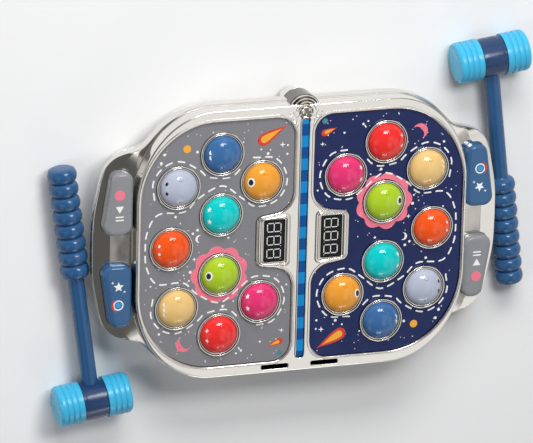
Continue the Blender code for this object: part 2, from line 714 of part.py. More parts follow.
BAY_TOP_Z = FLOOR_Z + DOOR_THICKNESS + GAP + 2 * CELL_RADIUS + 2 * BATTERY_ROOM
DOOR_SCREW_X = CELL_LENGTH / 2 + BATTERY_END_ROOM + BATTERY_STEP / 2 + DOOR_TAB / 2
DRAWER_Z = INNER_FLOOR_Z + DRAWER_LIFT
SWITCH_WALL_Y = -CASE_HALF_WIDTH * wall_share(SWITCH_Z)
WALL_LEAN = math.atan2(
    CASE_HALF_WIDTH * (1 - DRAW_IN_SHARE), SPLIT_Z - GAP - FLOOR_Z - LOWER_CHAMFER)
SWITCH_PLACING = (
    Matrix.Translation((SWITCH_X, SWITCH_WALL_Y, SWITCH_Z))
    @ Matrix.Rotation(math.pi / 2 + WALL_LEAN, 4, "X"))
SWITCH_SLOT_LENGTH = SWITCH_STEM + SWITCH_TRAVEL + 2 * SLIDE_GAP
SWITCH_SLOT_HEIGHT = SWITCH_STEM + 2 * SLIDE_GAP


def build_lower_case():
    foot = scaled(BASE_OUTLINE, DRAW_IN_SHARE)

    def body(mesh):
        add_layers(mesh, (
            level(shrunk(foot, LOWER_CHAMFER), FLOOR_Z),
            level(foot, FLOOR_Z + LOWER_CHAMFER),
            level(BASE_OUTLINE, SPLIT_Z - GAP)))

    case = make("lower_case", body, LOWER_SILVER, smooth=True)

    def boss(mesh):
        top = SPLIT_Z - GAP
        profile = ((0, FLOOR_Z), (BOSS_FOOT_RADIUS, FLOOR_Z), (BOSS_RADIUS, top), (0, top))
        add_turned(mesh, profile, 20, Matrix.Translation((0, BOSS_PLACE, 0)))

    def cavity(mesh):
        inner = shrunk(BASE_OUTLINE, WALL)
        add_layers(mesh, (
            level(shrunk(foot, WALL + LOWER_CHAMFER / 2), INNER_FLOOR_Z),
            level(shrunk(foot, WALL), FLOOR_Z + LOWER_CHAMFER),
            level(inner, SPLIT_Z - GAP), level(inner, SPLIT_Z + OVERRUN)))

    def furniture(mesh):
        base = FLOOR_Z + FLOOR / 2
        for x, y in CASE_POSTS:
            add_round(mesh, x, y, POST_RADIUS, base, SPLIT_Z - GAP, 8)
        board_low = SPLIT_Z - BUTTON_BOARD_DROP - BOARD_THICKNESS
        for x, y in BOARD_POSTS:
            add_round(mesh, x, y, POST_RADIUS, base, board_low - GAP, 8)
        add_layers(mesh, battery_box(BATTERY_STEP + BATTERY_WALL, base, BAY_TOP_Z + BATTERY_WALL))
        for x in (-DRAWER_HALF_WIDTH * RAIL_PLACE_SHARE, DRAWER_HALF_WIDTH * RAIL_PLACE_SHARE):
            rail = rectangle_at(
                x, -CASE_HALF_WIDTH + DRAWER_DEPTH - RAIL_LENGTH / 2, RAIL_WIDTH, RAIL_LENGTH)
            add_slab(mesh, rail, base, DRAWER_Z - GAP)
        add_round(
            mesh, SPEAKER_X, 0, SPEAKER_RADIUS + SLIDE_GAP + SPEAKER_RIM, base,
            INNER_FLOOR_Z + SPEAKER_RIM_HEIGHT, 20)

    def hollows(mesh):
        add_layers(mesh, battery_box(0, FLOOR_Z + DOOR_THICKNESS, BAY_TOP_Z))
        add_round(
            mesh, SPEAKER_X, 0, SPEAKER_RADIUS + SLIDE_GAP, INNER_FLOOR_Z,
            INNER_FLOOR_Z + SPEAKER_RIM_HEIGHT + OVERRUN, 20)
        for x, y in CASE_POSTS:
            add_round(
                mesh, x, y, SCREW_HEAD_HOLE_RADIUS, FLOOR_Z - OVERRUN,
                FLOOR_Z + SCREW_HEAD_HOLE_DEPTH, 6)
        for x in (-FOOT_X, FOOT_X):
            for y in (-FOOT_Y, FOOT_Y):
                add_round(mesh, x, y, FOOT_RADIUS + GAP, FLOOR_Z - OVERRUN, FLOOR_Z + FOOT_SINK, 12)
        drawer = rectangle(
            -DRAWER_HALF_WIDTH - DRAWER_FIT, -CASE_HALF_WIDTH - OVERRUN,
            DRAWER_HALF_WIDTH + DRAWER_FIT, -CASE_HALF_WIDTH * DRAW_IN_SHARE + WALL + OVERRUN)
        add_slab(mesh, drawer, DRAWER_Z - DRAWER_FIT, DRAWER_Z + DRAWER_HEIGHT + DRAWER_FIT)
        slot = rectangle_at(0, 0, SWITCH_SLOT_LENGTH, SWITCH_SLOT_HEIGHT)
        add_slab(mesh, slot, -WALL - OVERRUN, OVERRUN, SWITCH_PLACING)

    def openings(mesh):
        add_layers(mesh, battery_box(BATTERY_STEP, FLOOR_Z - OVERRUN, FLOOR_Z + DOOR_THICKNESS + GAP))
        for index in range(GRILLE_SLOTS):
            offset = (index - (GRILLE_SLOTS - 1) / 2) * GRILLE_PITCH
            length = 2 * math.sqrt((SPEAKER_RADIUS - GRILLE_PITCH) ** 2 - offset ** 2)
            slot = rectangle_at(SPEAKER_X + offset, 0, GRILLE_WIDTH, length)
            add_slab(mesh, slot, FLOOR_Z - OVERRUN, INNER_FLOOR_Z + OVERRUN)
        for x, y in CASE_POSTS:
            add_round(mesh, x, y, SCREW_HOLE_RADIUS, FLOOR_Z, SPLIT_Z + OVERRUN, 6)

    def screw_hole(mesh):
        add_round(mesh, DOOR_SCREW_X, BATTERY_Y, DOOR_SCREW_RADIUS + GAP, FLOOR_Z,
                  FLOOR_Z + DOOR_SCREW_LENGTH + OVERRUN, 8)

    def grooves(mesh):
        add_end_grooves(mesh, FLOOR_Z + LOWER_CHAMFER, SPLIT_Z + OVERRUN)

    join(case, boss)
    cut(case, cavity, grooves)
    join(case, furniture)
    cut(case, hollows, openings, screw_hole)
    return case


def build_panels():
    for name, side, finish_used in (("left", -1, GREY_PANEL), ("right", 1, NAVY_PANEL)):
        low = SEAT_Z + GAP
        plate = make(
            f"play_panel_{name}",
            lambda mesh: add_slab(mesh, scaled(PANEL_OUTLINE, side), low, low + PANEL_THICKNESS), finish_used)

        def holes(mesh):
            for x, y in MOLE_POINTS:
                if x * side > 0:
                    add_round(mesh, x, y, COLLAR_RADIUS + PANEL_FIT, low - OVERRUN, RIM_Z, HOLE_SEGMENTS)

        cut(plate, holes)


def mole_profile():
    """The dome's section, from the crown inside to the crown outside."""
    spring = RIM_Z - MOLE_SPRING
    rise = RIM_Z + MOLE_RISE - spring
    flange_top = ROOF_Z - GAP
    flange_low = flange_top - MOLE_FLANGE_THICKNESS
    flange_radius = MOLE_HOLE_RADIUS + MOLE_FLANGE_WIDTH
    inner = MOLE_RADIUS - MOLE_WALL
    profile = [(0, spring + rise - MOLE_WALL)]
    profile += arc((0, spring), (inner, rise - MOLE_WALL), 45, 0, 1)
    profile += [(inner, flange_low), (flange_radius, flange_low), (flange_radius, flange_top)]
    profile += [(MOLE_RADIUS, flange_top)]
    profile += arc((0, spring), (MOLE_RADIUS, rise), 0, 66, 3)
    return profile + [(0, spring + rise)]


def build_moles():
    profile = mole_profile()
    for name, side in SIDES.items():
        for colour, (x, y) in MOLE_PLACES.items():
            place = (-side * x, -side * y, RIM_Z)
            make(
                f"mole_{colour}_{name}",
                lambda mesh: add_turned(
                    mesh, profile, MOLE_SEGMENTS, Matrix.Translation((place[0], place[1], 0))),
                MOLE_FINISHES[colour], place, True)


def pad_top():
    return ROOF_Z - GAP - MOLE_FLANGE_THICKNESS - MOLE_TRAVEL - SLIDE_GAP


def build_mole_boards():
    mat_low = BOARD_TOP_Z + GAP
    mat_outline = shrunk(PANEL_OUTLINE, MAT_MARGIN)
    for name, side in SIDES.items():
        make(
            f"mole_board_{name}",
            lambda mesh: add_slab(
                mesh, scaled(BOARD_OUTLINE, side), BOARD_TOP_Z - BOARD_THICKNESS, BOARD_TOP_Z), BOARD_GREEN)
        mat = make(
            f"mole_mat_{name}",
            lambda mesh: add_slab(
                mesh, scaled(mat_outline, side), mat_low, mat_low + MAT_THICKNESS), MAT_RUBBER)

        def pads(mesh):
            for x, y in MOLE_POINTS:
                if x * side > 0:
                    add_round(mesh, x, y, PAD_RADIUS, mat_low, pad_top(), PAD_SEGMENTS)

        def peg_holes(mesh):
            for x, y in PEG_PLACES:
                add_round(mesh, side * x, side * y, PEG_RADIUS + PEG_FIT, mat_low - OVERRUN, ROOF_Z, 8)

        join(mat, pads)
        cut(mat, peg_holes)


def build_light_bar():
    low = ROOF_Z - GAP - BAR_FLANGE_THICKNESS
    wide = bar_outline(BAR_FLANGE_WIDTH, BAR_HALF_LENGTH - BAR_FLANGE_WIDTH)
    narrow = bar_outline(0, BAR_HALF_LENGTH)
    make("light_bar", lambda mesh: add_layers(mesh, (
        level(wide, low), level(wide, low + BAR_FLANGE_THICKNESS),
        level(narrow, low + BAR_FLANGE_THICKNESS), level(narrow, RIM_Z - BAR_SINK))), BAR_BLUE)
    strip = rectangle_at(0, 0, STRIP_WIDTH, 2 * BAR_HALF_LENGTH)
    make("light_strip_board", lambda mesh: add_slab(
        mesh, strip, low - GAP - BOARD_THICKNESS, low - GAP), BOARD_GREEN)


def build_displays():
    low = WINDOW_TOP_Z - WINDOW_THICKNESS
    inner = shrunk(WINDOW_OUTLINE, WINDOW_LEDGE + MODULE_FIT)
    for name, side in SIDES.items():
        make(
            f"display_window_{name}",
            lambda mesh: add_slab(mesh, scaled(WINDOW_OUTLINE, side), low, WINDOW_TOP_Z), DISPLAY_BLACK)
        make(
            f"display_module_{name}",
            lambda mesh: add_slab(mesh, scaled(inner, side), BOARD_TOP_Z + GAP, low - GAP), DARK_TEAL)


def build_end_buttons():
    flange_high = DECK_Z - BUTTON_SKIRT + BUTTON_FLANGE_THICKNESS
    flange_low = DECK_Z - BUTTON_SKIRT
    top = DECK_Z + BUTTON_RISE
    board_top = SPLIT_Z - BUTTON_BOARD_DROP
    for name, end in SIDES.items():
        for colour, row in (("grey", -end), ("blue", end)):
            outline = placed_button(end_button_outline(), end, row)
            flange = shrunk(outline, -SLIDE_GAP - BUTTON_FLANGE_WIDTH)
            upper = shrunk(outline, BUTTON_EDGE / 3)
            inner = shrunk(outline, BUTTON_EDGE)
            crown = drawn_to_middle(inner, 1 - BUTTON_CROWN_SHARE / 2)
            cavity = shrunk(outline, BUTTON_WALL)
            ceiling = top - BUTTON_EDGE - BUTTON_WALL / 2
            x = end * (BUTTON_INNER_X + BUTTON_OUTER_X) / 2
            y = row * (BUTTON_LOW_Y + BUTTON_HIGH_Y) / 2
            button = make(
                f"button_{colour}_{name}",
                lambda mesh: add_layers(mesh, (
                    level(flange, flange_low), level(flange, flange_high), level(outline, flange_high),
                    level(outline, top - BUTTON_EDGE), level(upper, top - BUTTON_EDGE / 2),
                    level(inner, top - BUTTON_EDGE / 6), level(crown, top))),
                BUTTON_GREY if colour == "grey" else BUTTON_BLUE, (x, y, DECK_Z), True)

            def hollow(mesh):
                low = flange_low - OVERRUN
                add_slab(mesh, level_shift(cavity, (x, y)), low - DECK_Z, ceiling - DECK_Z)

            def plunger(mesh):
                low = board_top + BUTTON_TRAVEL + SLIDE_GAP
                at_x = end * PLUNGER_X - x
                add_round(mesh, at_x, 0, PLUNGER_RADIUS, low - DECK_Z, ceiling + BUTTON_WALL / 2 - DECK_Z, 12)

            cut(button, hollow)
            join(button, plunger)
            for tool in [child for child in bpy.data.objects if child.name.startswith(f"{button.name}_tool")]:
                tool.location = button.location
        board = rectangle_at(end * BUTTON_BOARD_X, 0, BUTTON_BOARD_WIDTH, 2 * BUTTON_BOARD_HALF_LENGTH)
        make(
            f"button_board_{name}",
            lambda mesh: add_slab(mesh, board, board_top - BOARD_THICKNESS, board_top), BOARD_GREEN)


def level_shift(outline, centre):
    return [(x - centre[0], y - centre[1]) for x, y in outline]


def build_batteries():
    door = battery_box(BATTERY_STEP - GAP, FLOOR_Z, FLOOR_Z + DOOR_THICKNESS)
    cover = make("battery_door", lambda mesh: add_layers(mesh, door), LOWER_SILVER)
    cut(cover, lambda mesh: add_round(
        mesh, DOOR_SCREW_X, BATTERY_Y, DOOR_SCREW_RADIUS + GAP, FLOOR_Z - OVERRUN, INNER_FLOOR_Z, 8))
    screw = (
        (0, FLOOR_Z - GAP - DOOR_SCREW_HEAD_HEIGHT),
        (DOOR_SCREW_HEAD_RADIUS, FLOOR_Z - GAP - DOOR_SCREW_HEAD_HEIGHT),
        (DOOR_SCREW_HEAD_RADIUS, FLOOR_Z - GAP), (DOOR_SCREW_RADIUS, FLOOR_Z - GAP),
        (DOOR_SCREW_RADIUS, FLOOR_Z + DOOR_SCREW_LENGTH), (0, FLOOR_Z + DOOR_SCREW_LENGTH))
    make("battery_door_screw", lambda mesh: add_turned(
        mesh, screw, 8, Matrix.Translation((DOOR_SCREW_X, BATTERY_Y, 0))), STEEL, smooth=True)
    half = CELL_LENGTH / 2
    cell = (
        (0, -half), (CELL_RADIUS, -half), (CELL_RADIUS, half), (CELL_NUB_RADIUS, half),
        (CELL_NUB_RADIUS, half + CELL_NUB_LENGTH), (0, half + CELL_NUB_LENGTH))
    centre_z = FLOOR_Z + DOOR_THICKNESS + GAP + CELL_RADIUS + BATTERY_ROOM / 2
    for index in range(CELL_COUNT):
        y = BATTERY_Y + (index - (CELL_COUNT - 1) / 2) * CELL_PITCH
        turn = math.pi / 2 if index % 2 else -math.pi / 2
        placing = Matrix.Translation((0, y, centre_z)) @ Matrix.Rotation(turn, 4, "Y")
        make(f"battery_{index + 1}", lambda mesh: add_turned(mesh, cell, 12, placing), CELL, smooth=True)
    reach = half + BATTERY_END_ROOM - GAP
    for name, side in SIDES.items():
        plate = rectangle_at(
            side * (reach - CONTACT_THICKNESS / 2), BATTERY_Y, CONTACT_THICKNESS, CELL_COUNT * CELL_PITCH)
        make(f"battery_contact_{name}", lambda mesh: add_slab(
            mesh, plate, FLOOR_Z + DOOR_THICKNESS + 2 * GAP, BAY_TOP_Z - GAP), STEEL)


def build_drawer():
    low = DRAWER_Z
    high = DRAWER_Z + DRAWER_HEIGHT
    back = -CASE_HALF_WIDTH + DRAWER_DEPTH

    def front(mesh):
        rings = []
        half = DRAWER_HALF_WIDTH + DRAWER_FRONT_MARGIN
        for z in (low - DRAWER_FRONT_DROP, high + DRAWER_FRONT_MARGIN):
            face = -CASE_HALF_WIDTH * wall_share(z) - GAP
            rings.append(level(rectangle(-half, face - DRAWER_FRONT_THICKNESS, half, face), z))
        add_layers(mesh, rings)

    def tray(mesh):
        rings = []
        for z in (low, high):
            face = -CASE_HALF_WIDTH * wall_share(z) - GAP - DRAWER_FRONT_THICKNESS / 2
            rings.append(level(rectangle(-DRAWER_HALF_WIDTH, face, DRAWER_HALF_WIDTH, back), z))
        add_layers(mesh, rings)

    def hollow(mesh):
        inner = rectangle(
            -DRAWER_HALF_WIDTH + DRAWER_WALL, -CASE_HALF_WIDTH * DRAW_IN_SHARE + DRAWER_WALL,
            DRAWER_HALF_WIDTH - DRAWER_WALL, back - DRAWER_WALL)
        add_slab(mesh, inner, low + DRAWER_WALL, high + OVERRUN)

    drawer = make("coin_drawer", front, DARK_TEAL)
    join(drawer, tray)
    cut(drawer, hollow)


def build_switch():
    plate_top = GAP + SWITCH_PLATE_THICKNESS
    plate = make(
        "switch_plate",
        lambda mesh: add_slab(
            mesh, rounded(rectangle_at(0, 0, SWITCH_PLATE_LENGTH, SWITCH_PLATE_HEIGHT), SWITCH_STEM),
            GAP, plate_top, SWITCH_PLACING), DARK_TEAL)
    slot = rectangle_at(0, 0, SWITCH_SLOT_LENGTH, SWITCH_SLOT_HEIGHT)
    cut(plate, lambda mesh: add_slab(mesh, slot, -OVERRUN, plate_top + OVERRUN, SWITCH_PLACING))
    knob = make(
        "switch_knob",
        lambda mesh: add_turned(mesh, (
            (0, plate_top + GAP), (SWITCH_KNOB_RADIUS, plate_top + GAP),
            (SWITCH_KNOB_RADIUS, plate_top + SWITCH_KNOB_THICKNESS - SLIDE_GAP),
            (SWITCH_KNOB_RADIUS - SLIDE_GAP, plate_top + SWITCH_KNOB_THICKNESS),
            (0, plate_top + SWITCH_KNOB_THICKNESS)), 16, SWITCH_PLACING), DARK_TEAL, smooth=True)
    shoe_top = -WALL - GAP
    stem = rectangle_at(0, 0, SWITCH_STEM, SWITCH_STEM)
    shoe = rectangle_at(0, 0, SWITCH_SHOE, SWITCH_SHOE)
    join(knob, lambda mesh: add_slab(
        mesh, stem, shoe_top - SWITCH_SHOE_THICKNESS / 2,
        plate_top + SWITCH_KNOB_THICKNESS / 2, SWITCH_PLACING))
    join(knob, lambda mesh: add_slab(
        mesh, shoe, shoe_top - SWITCH_SHOE_THICKNESS, shoe_top, SWITCH_PLACING))


def build_speaker_and_feet():
    low = INNER_FLOOR_Z + GAP
    cone = SPEAKER_RADIUS - SPEAKER_RIM
    magnet = SPEAKER_RADIUS / 2
    rim_top = low + SPEAKER_RIM
    profile = (
        (0, low + SPEAKER_RIM), (cone, low), (SPEAKER_RADIUS, low),
        (SPEAKER_RADIUS, rim_top), (cone, rim_top),
        (magnet, low + SPEAKER_HEIGHT / 2), (magnet, low + SPEAKER_HEIGHT), (0, low + SPEAKER_HEIGHT))
    make("speaker", lambda mesh: add_turned(
        mesh, profile, 20, Matrix.Translation((SPEAKER_X, 0, 0))), CONE_BLACK, smooth=True)
    for end, x in (("left", -FOOT_X), ("right", FOOT_X)):
        for row, y in (("near", -FOOT_Y), ("far", FOOT_Y)):
            make(f"foot_{end}_{row}", lambda mesh: add_round(
                mesh, x, y, FOOT_RADIUS, 0, FLOOR_Z + FOOT_SINK - GAP, 12), RUBBER, smooth=True)


def grip_profile():
    """The mallet's shaft and ribbed grip, from the middle of the head outwards."""
    profile = [(0, 0), (SHAFT_RADIUS, 0), (SHAFT_RADIUS, SHAFT_END)]
    for index in range(RIB_COUNT):
        start = SHAFT_END + index * RIB_PITCH
        profile += [
            (RIB_VALLEY_RADIUS, start), (RIB_RADIUS, start + RIB_PITCH * RIB_RISE_SHARE),
            (RIB_RADIUS, start + RIB_PITCH * (1 - RIB_RISE_SHARE))]
    end = SHAFT_END + RIB_COUNT * RIB_PITCH
    return profile + [(RIB_VALLEY_RADIUS, end), (0, end)]


def build_mallets():
    core = (
        (0, -SPIGOT_HALF_LENGTH), (SPIGOT_RADIUS, -SPIGOT_HALF_LENGTH), (SPIGOT_RADIUS, -CORE_HALF_LENGTH),
        (CORE_RADIUS, -CORE_HALF_LENGTH), (CORE_RADIUS, CORE_HALF_LENGTH), (SPIGOT_RADIUS, CORE_HALF_LENGTH),
        (SPIGOT_RADIUS, SPIGOT_HALF_LENGTH), (0, SPIGOT_HALF_LENGTH))
    cap = [
        (0, SPIGOT_HALF_LENGTH + GAP), (SPIGOT_RADIUS + GAP, SPIGOT_HALF_LENGTH + GAP),
        (SPIGOT_RADIUS + GAP, CORE_HALF_LENGTH + GAP), (HEAD_RADIUS, CORE_HALF_LENGTH + GAP)]
    for index in range(CAP_RIDGES):
        start = CORE_HALF_LENGTH + (index + 1) * CAP_RIDGE_PITCH
        cap += [
            (HEAD_RADIUS, start), (HEAD_RADIUS - CAP_GROOVE, start + CAP_GROOVE),
            (HEAD_RADIUS, start + 2 * CAP_GROOVE)]
    cap += [(HEAD_RADIUS - CAP_ROUND / 2, HEAD_HALF_LENGTH), (0, HEAD_HALF_LENGTH)]
    last_crest = SHAFT_END + (RIB_COUNT - RIB_RISE_SHARE) * RIB_PITCH
    dip = math.asin((HEAD_RADIUS - RIB_RADIUS) / last_crest)
    along_head = Matrix.Rotation(math.pi / 2, 4, "Y")
    along_shaft = Matrix.Rotation(-math.pi / 2, 4, "X")
    for name, side in SIDES.items():
        turn = MALLET_LEAN + (math.pi if side > 0 else 0)
        place = (side * HEAD_X, side * HEAD_Y, HEAD_RADIUS)
        placing = (
            Matrix.Translation(place) @ Matrix.Rotation(turn, 4, "Z") @ Matrix.Rotation(-dip, 4, "X"))
        handle = make(
            f"mallet_handle_{name}",
            lambda mesh: add_turned(mesh, core, MALLET_SEGMENTS, placing @ along_head),
            MALLET_BLUE, smooth=True)
        join(handle, lambda mesh: add_turned(mesh, grip_profile(), MALLET_SEGMENTS, placing @ along_shaft))
        for face, way in (("a", 0), ("b", math.pi)):
            make(
                f"mallet_cap_{face}_{name}",
                lambda mesh: add_turned(
                    mesh, cap, MALLET_SEGMENTS, placing @ Matrix.Rotation(way, 4, "Z") @ along_head),
                CAP_CYAN, smooth=True)


MOLE_FINISHES = {name: finish(f"mole_{name}", colour, 0.2) for name, colour in MOLE_COLOURS.items()}
build_upper_case()
build_lower_case()
build_panels()
build_moles()
build_mole_boards()
build_light_bar()
build_displays()
build_end_buttons()
build_batteries()
build_drawer()
build_switch()
build_speaker_and_feet()
build_mallets()
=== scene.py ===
"""Dresses the mole pounding game: mirror-finish console, printed play panels, domes, mallets."""

import math
import random

import bmesh
import bpy
from mathutils import Matrix, Vector


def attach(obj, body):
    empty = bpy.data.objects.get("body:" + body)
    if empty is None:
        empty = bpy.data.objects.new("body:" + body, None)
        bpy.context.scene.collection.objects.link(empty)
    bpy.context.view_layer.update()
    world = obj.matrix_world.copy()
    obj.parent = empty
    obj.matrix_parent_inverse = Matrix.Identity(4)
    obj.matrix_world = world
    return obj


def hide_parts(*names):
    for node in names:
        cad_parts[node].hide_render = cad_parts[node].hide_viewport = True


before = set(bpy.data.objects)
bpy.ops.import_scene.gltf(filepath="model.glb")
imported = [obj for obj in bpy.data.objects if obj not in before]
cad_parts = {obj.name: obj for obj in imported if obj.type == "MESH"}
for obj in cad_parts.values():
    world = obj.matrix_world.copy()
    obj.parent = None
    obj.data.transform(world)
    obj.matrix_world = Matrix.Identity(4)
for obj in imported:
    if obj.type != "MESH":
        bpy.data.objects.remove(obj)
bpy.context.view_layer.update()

# Pieces are worked out in millimetres and scaled to metres as they become scene objects
MM = 0.001

# Heights shared by the console's pieces, above the table
SPLIT = 30
DECK = 42
SEAT = 54
PANEL_TOP = 56.3
RIM = 59
DOME_TOP = 68.5

# Plan sizes
CORNER_X = 97
CORNER_Y = 49
PLATFORM_X = 181.5
PLATFORM_Y = 146.5
PANEL_X = 177
PANEL_Y = 134
PANEL_INNER = 11
PANEL_CORNER = 20
HOLE_RADIUS = 20.5
COLLAR_RADIUS = 23.5
DOME_RADIUS = 20
BAR_HALF = 132
BAR_WIDTH = 8.1
BOSS_Y = 138
DISPLAY_X = 31.5

# The notch of a play panel round its display: its slant in degrees, and its mouth's and corner's rounds
NOTCH_TAPER = 8.7
NOTCH_MOUTH_Y = 51.9
NOTCH_MOUTH_RADIUS = 22
NOTCH_CORNER = (43.3, 20)
NOTCH_CORNER_RADIUS = 8

BASE_X = 223.5
BASE_Y = 148
BASE_SHARES = (
    (0.998, 0.135), (0.990, 0.270), (0.973, 0.405), (0.960, 0.500), (0.940, 0.585),
    (0.898, 0.652), (0.844, 0.688), (0.790, 0.708), (0.754, 0.737), (0.714, 0.801),
    (0.661, 0.878), (0.599, 0.939), (0.528, 0.981), (0.444, 1.0), (0.34, 1.0), (0.22, 1.0), (0.08, 1.0))

# Grey half's domes, in plan; the navy half is this turned half round
DOMES = {
    "amber": (-46, 66),
    "pink": (-46, -66),
    "blue": (-90, 99),
    "teal": (-90, 33),
    "lime": (-90, -33),
    "red": (-90, -99),
    "grey": (-137, 66),
    "orange": (-144, 0.0),
    "beige": (-137, -66),
}

# The way to each end along X, and what turns the grey half's plan into each half's
SIDES = {"left": -1, "right": 1}
HALVES = {"left": 1, "right": -1}
DOME_POINTS = [(side * x, side * y) for side in HALVES.values() for x, y in DOMES.values()]


def paint(red, green, blue):
    """A colour given in 0 to 255 as seen, turned into the linear values that shaders take."""
    channels = []
    for value in (red, green, blue):
        value /= 255
        channels.append(value / 12.92 if value <= 0.04045 else ((value + 0.055) / 1.055) ** 2.4)
    return (*channels, 1.0)


# Outlines

def arc(centre, radii, start, end, steps):
    points = []
    for step in range(steps + 1):
        angle = math.radians(start + (end - start) * step / steps)
        points.append((centre[0] + radii[0] * math.cos(angle), centre[1] + radii[1] * math.sin(angle)))
    return points


def four_way(quarter):
    half = quarter + [(-x, y) for x, y in reversed(quarter)]
    return half + [(-x, -y) for x, y in half]


def rounded(corners, radius, steps=8):
    """An anticlockwise outline with each corner rounded."""
    points = []
    for index, corner in enumerate(corners):
        here = Vector(corner)
        before = (Vector(corners[index - 1]) - here).normalized()
        after = (Vector(corners[(index + 1) % len(corners)]) - here).normalized()
        half = before.angle(after) / 2
        centre = here + (before + after).normalized() * radius / math.sin(half)
        first = here + before * radius / math.tan(half) - centre
        bend = math.pi - 2 * half
        for step in range(steps + 1):
            points.append(tuple(centre + Matrix.Rotation(bend * step / steps, 2) @ first))
    return points


def rectangle_at(x, y, length, width):
    return [
        (x - length / 2, y - width / 2), (x + length / 2, y - width / 2),
        (x + length / 2, y + width / 2), (x - length / 2, y + width / 2)]


def shrunk(outline, distance):
    """The outline moved in by a distance."""
    points = []
    for index, corner in enumerate(outline):
        here = Vector(corner)
        into = (here - Vector(outline[index - 1])).normalized()
        away = (Vector(outline[(index + 1) % len(outline)]) - here).normalized()
        inward = Vector((-into.y - away.y, into.x + away.x)).normalized()
        share = inward.dot(Vector((-into.y, into.x)))
        points.append(tuple(here + inward * distance / share))
    return points


def smooth_point(a, b, c, d, t):
    """A place on the smooth curve that runs from b to c, between a and d."""
    return 0.5 * (
        2 * b + (c - a) * t + (2 * a - 5 * b + 4 * c - d) * t ** 2 + (3 * b - a - 3 * c + d) * t ** 3)


def flowed(outline, parts):
    """A closed outline with smooth curve points added between its own."""
    count = len(outline)
    points = []
    for index in range(count):
        a, b, c, d = (Vector(outline[(index + shift) % count]) for shift in (-1, 0, 1, 2))
        points += [tuple(smooth_point(a, b, c, d, part / parts)) for part in range(parts)]
    return points


def turned_round(outline, side):
    return [(x * side, y * side) for x, y in outline]


def moved(outline, x, y):
    return [(px + x, py + y) for px, py in outline]


def tilted(outline, degrees):
    spun = Matrix.Rotation(math.radians(degrees), 2)
    return [tuple(spun @ Vector(point)) for point in outline]


PLATFORM = four_way(arc((CORNER_X, CORNER_Y), (PLATFORM_X - CORNER_X, PLATFORM_Y - CORNER_Y), 0, 90, 28))
BASE = flowed(four_way([(BASE_X * x, BASE_Y * y) for x, y in BASE_SHARES]), 4)


def panel_outline():
    """The navy half's panel, with its notch round the display."""
    upper = arc((CORNER_X, CORNER_Y), (PANEL_X - CORNER_X, PANEL_Y - CORNER_Y), 0, 90, 28)
    upper += arc((PANEL_INNER + PANEL_CORNER, PANEL_Y - PANEL_CORNER), [PANEL_CORNER] * 2, 90, 180, 14)
    mouth = (PANEL_INNER + NOTCH_MOUTH_RADIUS, NOTCH_MOUTH_Y)
    upper += arc(mouth, [NOTCH_MOUTH_RADIUS] * 2, 180, 270 - NOTCH_TAPER, 12)
    upper += arc(NOTCH_CORNER, [NOTCH_CORNER_RADIUS] * 2, 90 - NOTCH_TAPER, 0, 8)
    return [(x, -y) for x, y in reversed(upper)] + upper


PANEL = panel_outline()


# Mesh making

SHARP_ANGLE = math.radians(35)


def spread(ring):
    """A ring's points in space; its height may be one value or one for each point."""
    outline, z = ring
    heights = z if isinstance(z, (list, tuple)) else [z] * len(outline)
    return [(x, y, high) for (x, y), high in zip(outline, heights)]


def loft(mesh, rings, closed=False):
    """A body extruded from ring to ring of equal counts; a closed one runs back to its first ring."""
    verts = [mesh.verts.new(point) for point in spread(rings[0])]
    edges = [mesh.edges.new((verts[index - 1], verts[index])) for index in range(len(verts))]
    first = verts
    if not closed:
        bmesh.ops.contextual_create(mesh, geom=edges)
    for ring in rings[1:] + (rings[:1] if closed else []):
        made = bmesh.ops.extrude_edge_only(mesh, edges=edges)["geom"]
        fresh = {part for part in made if isinstance(part, bmesh.types.BMVert)}
        verts = [
            next(edge.other_vert(vert) for edge in vert.link_edges if edge.other_vert(vert) in fresh)
            for vert in verts]
        for vert, point in zip(verts, spread(ring)):
            vert.co = point
        edges = [
            part for part in made
            if isinstance(part, bmesh.types.BMEdge) and part.verts[0] in fresh and part.verts[1] in fresh]
    if closed:
        bmesh.ops.remove_doubles(mesh, verts=first + verts, dist=0.0001)
    else:
        bmesh.ops.contextual_create(mesh, geom=edges)


def band(mesh, outer, inner, low, high):
    """A wall between two outlines of equal counts."""
    loft(mesh, [(outer, low), (outer, high), (inner, high), (inner, low)], closed=True)


def slab(mesh, outline, low, high):
    """An outline's face, raised into a body."""
    verts = [mesh.verts.new((x, y, low)) for x, y in outline]
    face = mesh.faces.new(verts)
    raised = bmesh.ops.extrude_face_region(mesh, geom=[face])
    lifted = [part for part in raised["geom"] if isinstance(part, bmesh.types.BMVert)]
    bmesh.ops.translate(mesh, verts=lifted, vec=(0, 0, high - low))


def turn(mesh, profile, steps, placing):
    """A body spun about Z from (radius, height) points, then placed."""
    start = [mesh.verts.new((radius, 0, height)) for radius, height in profile]
    edges = [mesh.edges.new(pair) for pair in zip(start, start[1:])]
    if profile[0][0] > 0 and profile[-1][0] > 0:
        edges.append(mesh.edges.new((start[-1], start[0])))
    known = set(mesh.verts) - set(start)
    bmesh.ops.spin(
        mesh, geom=start + edges, cent=(0, 0, 0), axis=(0, 0, 1), dvec=(0, 0, 0),
        angle=math.tau, steps=steps, use_merge=True, use_duplicate=False)
    made = [vert for vert in mesh.verts if vert not in known]
    bmesh.ops.remove_doubles(mesh, verts=made, dist=0.001)
    made = [vert for vert in mesh.verts if vert not in known]
    bmesh.ops.transform(mesh, matrix=placing, verts=made)


def turn_at(mesh, profile, steps, x, y):
    turn(mesh, profile, steps, Matrix.Translation((x, y, 0)))


def plug(mesh, radius, low, high, steps, x, y):
    """An upright cylinder."""
    turn_at(mesh, ((0, low), (radius, low), (radius, high), (0, high)), steps, x, y)


def put(name, data):
    """A new object in the scene."""
    item = bpy.data.objects.new(name, data)
    bpy.context.scene.collection.objects.link(item)
    return item


